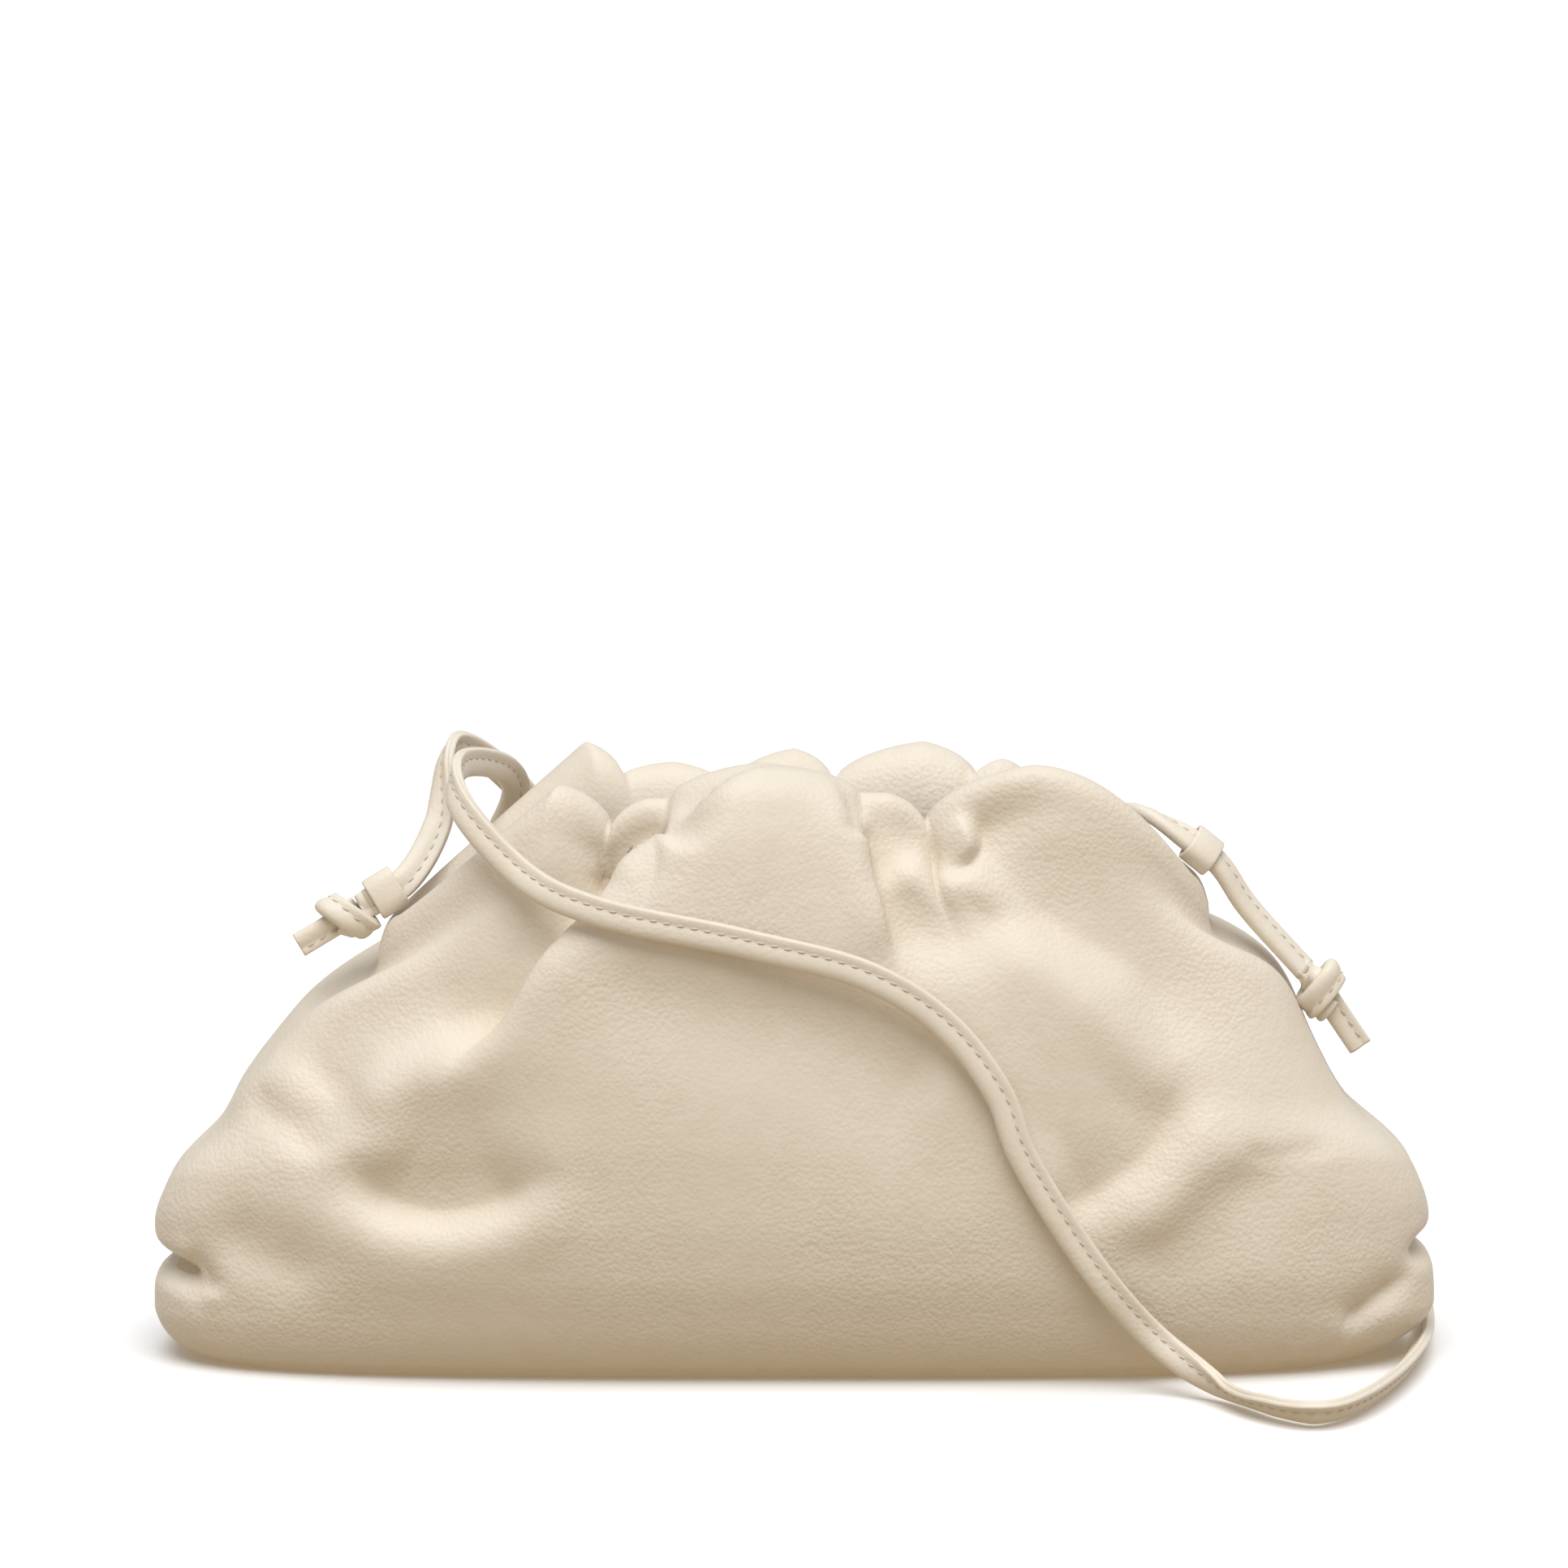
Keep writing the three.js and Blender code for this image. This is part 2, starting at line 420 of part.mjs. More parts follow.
// How far the folds lift a point of the smooth body out of it, along its normal.
function foldHeight(point, normal, side) {
  let height = 0;
  FOLDS.forEach((fold, k) => {
    if ((fold.on === 'front' && side > 0) || (fold.on === 'back' && side < 0)) return;
    const { start = TAPER, end = TAPER, ends = 0, sharp = 2, tuck = 0 } = fold;
    const { along: share, distance, right } = beside(FOLD_LINES[k], point, normal);
    const fade = smoothstep(share, 0, start) * smoothstep(1 - share, 0, end);
    const [width, other] = [fold.width * BAG_HEIGHT, fold.other * BAG_HEIGHT];
    if (!fold.lift) {
      const turned = smoothstep(right / Math.max(distance, 1e-6), -SIDE_BLEND, SIDE_BLEND);
      const bulge = Math.exp(-((distance / lerp(width, other, turned)) ** sharp));
      height += fold.depth * bulge * Math.max(fade, ends);
      return;
    }
    const high = fold.lift === 'right' ? -right : right;
    const up = 1 / (1 + Math.exp(-high / (OVERLAP_SHARP * BAG_HEIGHT)));
    const raised = fold.depth * Math.exp(-((distance / width) ** 2)) * up;
    height += fade * (raised - tuck * Math.exp(-((distance / other) ** 2)) * (1 - up));
  });
  return height * BAG_DEPTH;
}

// The stations round the bag: along the front from the left end to the right, and back again.
const STATIONS = Array.from({ length: MERIDIANS }, (_, i) => {
  const turn = (2 * Math.PI * i) / MERIDIANS;
  return { across: -Math.cos(turn), side: i <= MERIDIANS / 2 ? -1 : 1, middle: Math.abs(Math.sin(turn)) };
});

// The outward normal of a grid of rings at one of its points.
function gridNormal(rings, row, i) {
  const around = rings[row][(i + 1) % MERIDIANS].clone().sub(rings[row][(i + MERIDIANS - 1) % MERIDIANS]);
  const up = rings[Math.min(row + 1, rings.length - 1)][i].clone().sub(rings[Math.max(row - 1, 0)][i]);
  return around.cross(up).normalize();
}

// The rings of the smooth body: foot, wall, roll and facing.
function smoothRings(plain = false) {
  const ring = (make) => STATIONS.map(({ across, side }) => make(across, side));
  return [
    ...FLOOR_RINGS.map((share) => ring((across, side) => wallPoint(across, side, 0).multiplyScalar(share))),
    ...WALL_RISES.map((rise) => ring((across, side) => wallPoint(across, side, rise, plain))),
    ...ROLL_ANGLES.map((angle) => ring((across, side) => rollPoint(across, side, angle, plain))),
    ...FACING_SHARES.map((share) => ring((across, side) => facingPoint(across, side, share, plain))),
  ];
}

// How much of the folds shows in each of these rings.
const SHOWN = [
  ...FLOOR_RINGS.map(() => 0),
  ...WALL_RISES.map((rise) => smoothstep(rise, 0, FOLDS_START)),
  ...ROLL_ANGLES.map((angle) => 1 - smoothstep(angle, ROLL_LEAN, FOLDS_GONE)),
  ...FACING_SHARES.map(() => 0),
];

// The shell as rings. The folds move the wall and the outer half of the roll along the plain body's
// normals. The inside follows at the leather's thickness along the same normals, with fewer rings.
function shellRings() {
  const plain = smoothRings(true);
  const normals = plain.map((ring, row) => ring.map((_, i) => (
    row < FLOOR_RINGS.length ? new THREE.Vector3(0, 0, -1) : gridNormal(plain, row, i)
  )));
  const outside = smoothRings().map((ring, row) => ring.map((point, i) => {
    if (SHOWN[row] === 0) return point;
    const side = STATIONS[i].middle < 0.1 ? 0 : STATIONS[i].side;
    return point.addScaledVector(normals[row][i], SHOWN[row] * foldHeight(point, normals[row][i], side));
  }));
  const kept = outside.map((_, row) => row).filter((row) => !LEFT_OUT.includes(row));
  const inside = kept.reverse().map((row) => outside[row].map((point, i) => {
    const moved = point.clone().addScaledVector(normals[row][i], -LEATHER);
    moved.z = Math.max(moved.z, LEATHER);
    return moved;
  }));
  return [...outside, ...inside];
}

// A closed body from rings of equally many points, each end closed by a fan round its middle.
function closedBody(rings, first, last) {
  const around = rings[0].length;
  const positions = [first, ...rings.flat(), last].flatMap((p) => [p.x, p.y, p.z]);
  const end = rings.length * around + 1;
  const at = (row, i) => 1 + row * around + (i % around);
  const index = [];
  for (let i = 0; i < around; i += 1) {
    index.push(0, at(0, i + 1), at(0, i));
    for (let row = 0; row + 1 < rings.length; row += 1) {
      index.push(at(row, i), at(row, i + 1), at(row + 1, i));
      index.push(at(row, i + 1), at(row + 1, i + 1), at(row + 1, i));
    }
    index.push(at(rings.length - 1, i), at(rings.length - 1, i + 1), end);
  }
  const geometry = new THREE.BufferGeometry();
  geometry.setAttribute('position', new THREE.Float32BufferAttribute(positions, 3));
  geometry.setIndex(index);
  geometry.computeVertexNormals();
  return geometry;
}

function pouchShell() {
  return closedBody(shellRings(), new THREE.Vector3(0, 0, 0), new THREE.Vector3(0, 0, LEATHER));
}

// The frame inside the rolled rim: one closed band that lies behind the facing all round.
function mouthFrame() {
  const inner = LEATHER + FRAME_PLAY;
  const outer = inner + FRAME_THICKNESS;
  const bottom = FRAME_LIFT - FACING_DROP;
  const top = bottom + FRAME_HEIGHT;
  const corners = [[inner, bottom], [outer, bottom], [outer, top], [inner, top]];
  const stations = STATIONS.filter((_, i) => i % FRAME_SKIP === 0);
  const rings = corners.map(([inset, height]) => stations.map(({ across, side }) => {
    const point = slitPoint(across, side, inset);
    point.z = arch(across) + height;
    return point;
  }));
  const positions = rings.flat().flatMap((point) => [point.x, point.y, point.z]);
  const index = [];
  rings.forEach((_, corner) => {
    const a = corner * stations.length;
    const b = ((corner + 1) % rings.length) * stations.length;
    for (let i = 0; i < stations.length; i += 1) {
      const j = (i + 1) % stations.length;
      index.push(a + i, a + j, b + i, a + j, b + j, b + i);
    }
  });
  const geometry = new THREE.BufferGeometry();
  geometry.setAttribute('position', new THREE.Float32BufferAttribute(positions, 3));
  geometry.setIndex(index);
  return geometry;
}

const vector = (numbers) => new THREE.Vector3(...numbers);

// A flat strap's middle line, with the way that its face looks along it. The sections are spaced by
// the route's points, so that close points in a bend get short steps.
class StrapCurve extends THREE.Curve {
  constructor(route) {
    super();
    this.middle = new THREE.CatmullRomCurve3(route.map((row) => vector(row.at)), false, 'centripetal');
    this.faces = new THREE.CatmullRomCurve3(route.map((row) => vector(row.face)), false, 'catmullrom', 0.5);
  }

  getPoint(t, target) {
    return this.middle.getPoint(t, target);
  }

  getSpacedPoints(divisions) {
    return this.middle.getPoints(divisions);
  }

  computeFrenetFrames(segments) {
    const frames = { tangents: [], normals: [], binormals: [] };
    for (let i = 0; i <= segments; i += 1) {
      const tangent = this.middle.getTangent(i / segments);
      const face = this.faces.getPoint(i / segments).projectOnPlane(tangent).normalize();
      frames.tangents.push(tangent);
      frames.binormals.push(face);
      frames.normals.push(face.clone().cross(tangent));
    }
    return frames;
  }
}

// A flat section with bevelled edges.
function flatSection(width, thickness) {
  const x = width / 2;
  const y = thickness / 2;
  const cut = STRAP_ROUND;
  return new THREE.Shape([
    new THREE.Vector2(-x, cut - y), new THREE.Vector2(cut - x, -y),
    new THREE.Vector2(x - cut, -y), new THREE.Vector2(x, cut - y),
    new THREE.Vector2(x, y - cut), new THREE.Vector2(x - cut, y),
    new THREE.Vector2(cut - x, y), new THREE.Vector2(-x, y - cut),
  ]);
}

// The place at a distance from another one along a way.
function along(at, way, distance) {
  return vector(at).addScaledVector(vector(way).normalize(), distance).toArray();
}

// The left knot lies just outside its loop, in line with it.
const LEFT_KNOT = along(LEFT_LOOP, LEFT_LOOP_WAY, -(LOOP_LENGTH / 2 + KNOT_PLAY + KNOT_LENGTH / 2));

// The whole strap, from knot to knot and straight through both loops.
function strapRoute() {
  const start = KNOT_LENGTH / 2 + CLEARANCE;
  const beyond = LOOP_LENGTH / 2 + LOOP_STRAIGHT;
  const first = STRAP_ROUTE[0].face;
  const last = RIGHT_STRAND[RIGHT_STRAND.length - 1];
  const back = vector(last.at).sub(vector(RIGHT_KNOT)).toArray();
  return [
    { at: along(LEFT_KNOT, LEFT_LOOP_WAY, start), face: first },
    { at: along(LEFT_LOOP, LEFT_LOOP_WAY, beyond), face: first },
    ...STRAP_ROUTE,
    { at: along(RIGHT_LOOP, RIGHT_LOOP_WAY, -beyond), face: RIGHT_STRAND[0].face },
    { at: along(RIGHT_LOOP, RIGHT_LOOP_WAY, beyond), face: RIGHT_STRAND[0].face },
    ...RIGHT_STRAND,
    { at: along(RIGHT_KNOT, back, start), face: last.face },
  ];
}

function strap() {
  const route = strapRoute();
  const extrudePath = new StrapCurve(route);
  const section = flatSection(STRAP_WIDTH, STRAP_THICKNESS);
  return new THREE.ExtrudeGeometry(section, { steps: STRAP_STEPS * (route.length - 1), extrudePath });
}

// A mesh turned so that its local Z runs along a way and its local Y looks along a face.
function place(mesh, at, way, face) {
  const z = vector(way).normalize();
  const y = vector(face).projectOnPlane(z).normalize();
  mesh.quaternion.setFromRotationMatrix(new THREE.Matrix4().makeBasis(y.clone().cross(z), y, z));
  mesh.position.fromArray(at);
  return mesh;
}

// A rounded rectangle's outline.
function roundedOutline(Outline, width, height, radius) {
  const x = width / 2 - radius;
  const y = height / 2 - radius;
  const outline = new Outline();
  outline.absarc(x, y, radius, 0, Math.PI / 2);
  outline.absarc(-x, y, radius, Math.PI / 2, Math.PI);
  outline.absarc(-x, -y, radius, Math.PI, Math.PI * 1.5);
  outline.absarc(x, -y, radius, Math.PI * 1.5, Math.PI * 2);
  outline.closePath();
  return outline;
}

// A strap loop: a short sleeve of leather that the strap runs through with a little play.
function strapLoop() {
  const width = STRAP_WIDTH + 2 * LOOP_PLAY;
  const height = STRAP_THICKNESS + 2 * LOOP_PLAY;
  const inner = STRAP_ROUND;
  const [outerWidth, outerHeight] = [width + 2 * LOOP_WALL, height + 2 * LOOP_WALL];
  const band = roundedOutline(THREE.Shape, outerWidth, outerHeight, inner + LOOP_WALL);
  band.holes.push(roundedOutline(THREE.Path, width, height, inner));
  const geometry = new THREE.ExtrudeGeometry(band, {
    depth: LOOP_LENGTH, bevelEnabled: false, curveSegments: CORNER_STEPS,
  });
  return geometry.translate(0, 0, -LOOP_LENGTH / 2);
}

// An overhand knot with its free end: a tight round body, one flat turn that lies over it aslant,
// and the tail.
function knot(tail) {
  const turns = Array.from({ length: KNOT_SIDES }, (_, i) => (2 * Math.PI * i) / KNOT_SIDES);
  const ring = (z, width, thickness, lift = () => 0) => turns.map((turn) => {
    const raised = lift(turn);
    const x = (width / 2 + raised) * Math.cos(turn);
    return new THREE.Vector3(x, (thickness / 2 + raised) * Math.sin(turn), z);
  });
  const width = KNOT_WIDTH - 2 * TURN_HEIGHT;
  const thickness = KNOT_THICKNESS - 2 * TURN_HEIGHT;
  const rings = [];
  for (let i = 0; i <= KNOT_RINGS; i += 1) {
    const share = i / KNOT_RINGS - 0.5;
    const z = share * KNOT_LENGTH;
    const swell = Math.sqrt(1 - (1 - KNOT_END ** 2) * (2 * share) ** 2);
    const lift = (turn) => {
      const away = z - TURN_SWING * KNOT_LENGTH * Math.cos(turn);
      return TURN_HEIGHT * Math.exp(-((away / TURN_WIDTH) ** 4)) * swell;
    };
    rings.push(ring(z, width * swell, thickness * swell, lift));
  }
  const end = KNOT_LENGTH / 2 + CLEARANCE;
  rings.push(ring(end, TAIL_WIDTH, STRAP_THICKNESS), ring(end + tail, TAIL_WIDTH, STRAP_THICKNESS));
  return closedBody(rings, new THREE.Vector3(0, 0, -KNOT_LENGTH / 2), new THREE.Vector3(0, 0, end + tail));
}

function piece(name, geometry, material) {
  const mesh = new THREE.Mesh(geometry, material);
  mesh.name = name;
  return mesh;
}

const bag = new THREE.Group();
bag.add(piece('pouch_shell', pouchShell(), LEATHER_LOOK));
bag.add(piece('mouth_frame', mouthFrame(), FRAME_LOOK));
bag.add(piece('strap', strap(), STRAP_LOOK));

const leftLoop = piece('left_strap_loop', strapLoop(), STRAP_LOOK);
const rightLoop = piece('right_strap_loop', strapLoop(), STRAP_LOOK);
const leftKnot = piece('left_knot', knot(LEFT_TAIL), STRAP_LOOK);
const rightKnot = piece('right_knot', knot(RIGHT_TAIL), STRAP_LOOK);
bag.add(place(leftLoop, LEFT_LOOP, LEFT_LOOP_WAY, STRAP_ROUTE[0].face));
bag.add(place(rightLoop, RIGHT_LOOP, RIGHT_LOOP_WAY, RIGHT_STRAND[0].face));
bag.add(place(leftKnot, LEFT_KNOT, LEFT_TAIL_WAY, FRONT));
bag.add(place(rightKnot, RIGHT_KNOT, RIGHT_TAIL_WAY, FRONT));

export default bag;
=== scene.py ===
"""The looks of a soft leather pouch bag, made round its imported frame. Metres, +Z up, -Y to the front."""
import json
import math

import bpy
import numpy as np
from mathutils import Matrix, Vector

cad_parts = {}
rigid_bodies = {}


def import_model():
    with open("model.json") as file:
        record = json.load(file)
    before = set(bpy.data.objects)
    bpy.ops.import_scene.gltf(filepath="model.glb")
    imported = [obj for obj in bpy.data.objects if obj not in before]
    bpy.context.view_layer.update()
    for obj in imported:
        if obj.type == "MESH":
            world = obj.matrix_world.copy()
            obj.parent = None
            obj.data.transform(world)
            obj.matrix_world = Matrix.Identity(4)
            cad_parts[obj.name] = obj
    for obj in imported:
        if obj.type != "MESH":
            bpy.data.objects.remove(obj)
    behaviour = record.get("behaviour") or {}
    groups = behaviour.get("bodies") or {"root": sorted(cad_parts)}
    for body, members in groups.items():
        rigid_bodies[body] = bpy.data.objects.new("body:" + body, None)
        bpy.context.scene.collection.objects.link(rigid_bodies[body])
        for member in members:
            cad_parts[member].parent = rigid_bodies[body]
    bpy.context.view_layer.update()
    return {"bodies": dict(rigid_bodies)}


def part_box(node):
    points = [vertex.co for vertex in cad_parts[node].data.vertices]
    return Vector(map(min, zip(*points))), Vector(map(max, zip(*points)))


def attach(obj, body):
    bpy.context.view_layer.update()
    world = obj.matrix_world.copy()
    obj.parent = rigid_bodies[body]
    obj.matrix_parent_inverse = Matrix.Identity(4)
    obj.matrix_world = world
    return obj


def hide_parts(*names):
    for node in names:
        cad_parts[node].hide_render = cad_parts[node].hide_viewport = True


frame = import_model()

# Driving sizes of the shell, as the frame has them
SHELL_LOW, SHELL_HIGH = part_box("pouch_shell")
BAG_WIDTH = SHELL_HIGH.x - SHELL_LOW.x
BAG_HEIGHT = 0.1055
BAG_DEPTH = 0.062
LEATHER = 0.002
MOUTH_LENGTH = 0.144
MOUTH_GAP = 0.007
ROLL_THICKNESS = 0.015
ROLL_HEIGHT = 0.0065
END_ROLL = 0.009
ROLL_LEAN = 28
FACING_DROP = 0.016
ARCH_DROP = 0.008
LEFT_MOUTH_DROP = 0.0305
RIGHT_MOUTH_DROP = 0.0225
LEFT_SHOULDER = 2
RIGHT_SHOULDER = 2.4
GATHERS_START = 0.72
SLIT_SQUARE = 4
CREASE_STEEP = 0.75
CREST_POWER = 1.8
PLAIN_THICK = 0.9

# How finely the shell is meshed
FRONT_STATIONS = 290
BACK_STATIONS = 190
WALL_ROWS = 122
ROLL_ROWS = 20
FACING_ROWS = 5
FLOOR_RINGS = (0.3, 0.55, 0.78, 0.92)
OUTSIDE_ROWS = len(FLOOR_RINGS) + WALL_ROWS + ROLL_ROWS + FACING_ROWS
INSIDE_STEP = 6
OUTLINE_STEPS = 4001
OUTLINE_SQUARE = 2.6
WALL_CROWDING = 1.15
PLACE_TRIES = 8
# Painted shade in the creases of the shell: how much its mask is smoothed and how deep a crease turns full
# shade
SHADE_MASK_STEPS = 30
SHADE_MASK_DEPTH = 0.0013

# Cross sections from the foot to the top of the wall: rise is a share of the wall's height, left and
# right of the half width, depth of the half depth, and square the roundness seen from above.
SECTIONS = [
    {"rise": 0, "left": 0.900, "right": 0.850, "depth": 0.60, "square": 3.4},
    {"rise": 0.03, "left": 0.960, "right": 0.925, "depth": 0.74, "square": 3.1},
    {"rise": 0.075, "left": 0.990, "right": 0.980, "depth": 0.84, "square": 2.9},
    {"rise": 0.12, "left": 1.000, "right": 1.000, "depth": 0.90, "square": 2.8},
    {"rise": 0.21, "left": 0.999, "right": 0.996, "depth": 0.975, "square": 2.7},
    {"rise": 0.31, "left": 0.998, "right": 0.989, "depth": 1.00, "square": 2.6},
    {"rise": 0.41, "left": 0.975, "right": 0.960, "depth": 0.99, "square": 2.6},
    {"rise": 0.53, "left": 0.900, "right": 0.864, "depth": 0.955, "square": 2.5},
    {"rise": 0.62, "left": 0.866, "right": 0.824, "depth": 0.915, "square": 2.5},
    {"rise": 0.76, "left": 0.790, "right": 0.776, "depth": 0.825, "square": 2.5},
    {"rise": 0.83, "left": 0.748, "right": 0.750, "depth": 0.770, "square": 2.5},
    {"rise": 0.90, "left": 0.716, "right": 0.717, "depth": 0.705, "square": 2.6},
    {"rise": 0.95, "left": 0.684, "right": 0.683, "depth": 0.650, "square": 2.8},
    {"rise": 1, "left": 0.649, "right": 0.649, "depth": 0.58, "square": 3},
]

# The gathers along the mouth: at is a share of half its length, crest of the bag's height and thick
# of the roll's thickness.
FRONT_GATHERS = [
    {"at": -1, "kind": "straight", "crest": 0.732, "thick": 0.70},
    {"at": -0.59, "kind": "lobe", "crest": 0.962, "thick": 0.92},
    {"at": -0.462, "kind": "crease", "crest": 0.885, "thick": 0.80},
    {"at": -0.37, "kind": "lobe", "crest": 0.940, "thick": 0.86},
    {"at": -0.31, "kind": "crease", "crest": 0.940, "thick": 0.86},
    {"at": -0.09, "kind": "lobe", "crest": 1.000, "thick": 1.00},
    {"at": 0.16, "kind": "crease", "crest": 0.950, "thick": 0.88},
    {"at": 0.235, "kind": "lobe", "crest": 0.950, "thick": 0.90},
    {"at": 0.33, "kind": "crease", "crest": 0.893, "thick": 0.80},
    {"at": 0.60, "kind": "lobe", "crest": 0.995, "thick": 1.00},
    {"at": 1, "kind": "rounded", "crest": 0.800, "thick": 0.80},
]
BACK_GATHERS = [
    {"at": -1, "kind": "straight", "crest": 0.732, "thick": 0.70},
    {"at": -0.53, "kind": "lobe", "crest": 1.000, "thick": 0.97},
    {"at": -0.44, "kind": "crease", "crest": 0.945, "thick": 0.52},
    {"at": -0.31, "kind": "lobe", "crest": 0.968, "thick": 0.85},
    {"at": -0.17, "kind": "crease", "crest": 0.925, "thick": 0.50},
    {"at": 0, "kind": "lobe", "crest": 0.990, "thick": 0.85},
    {"at": 0.10, "kind": "crease", "crest": 0.935, "thick": 0.50},
    {"at": 0.325, "kind": "lobe", "crest": 1.000, "thick": 1.00},
    {"at": 0.46, "kind": "crease", "crest": 0.945, "thick": 0.50},
    {"at": 0.53, "kind": "lobe", "crest": 0.975, "thick": 0.75},
    {"at": 0.60, "kind": "crease", "crest": 0.930, "thick": 0.55},
    {"at": 0.68, "kind": "lobe", "crest": 0.935, "thick": 0.80},
    {"at": 0.82, "kind": "crease", "crest": 0.850, "thick": 0.50},
    {"at": 1, "kind": "rounded", "crest": 0.800, "thick": 0.80},
]

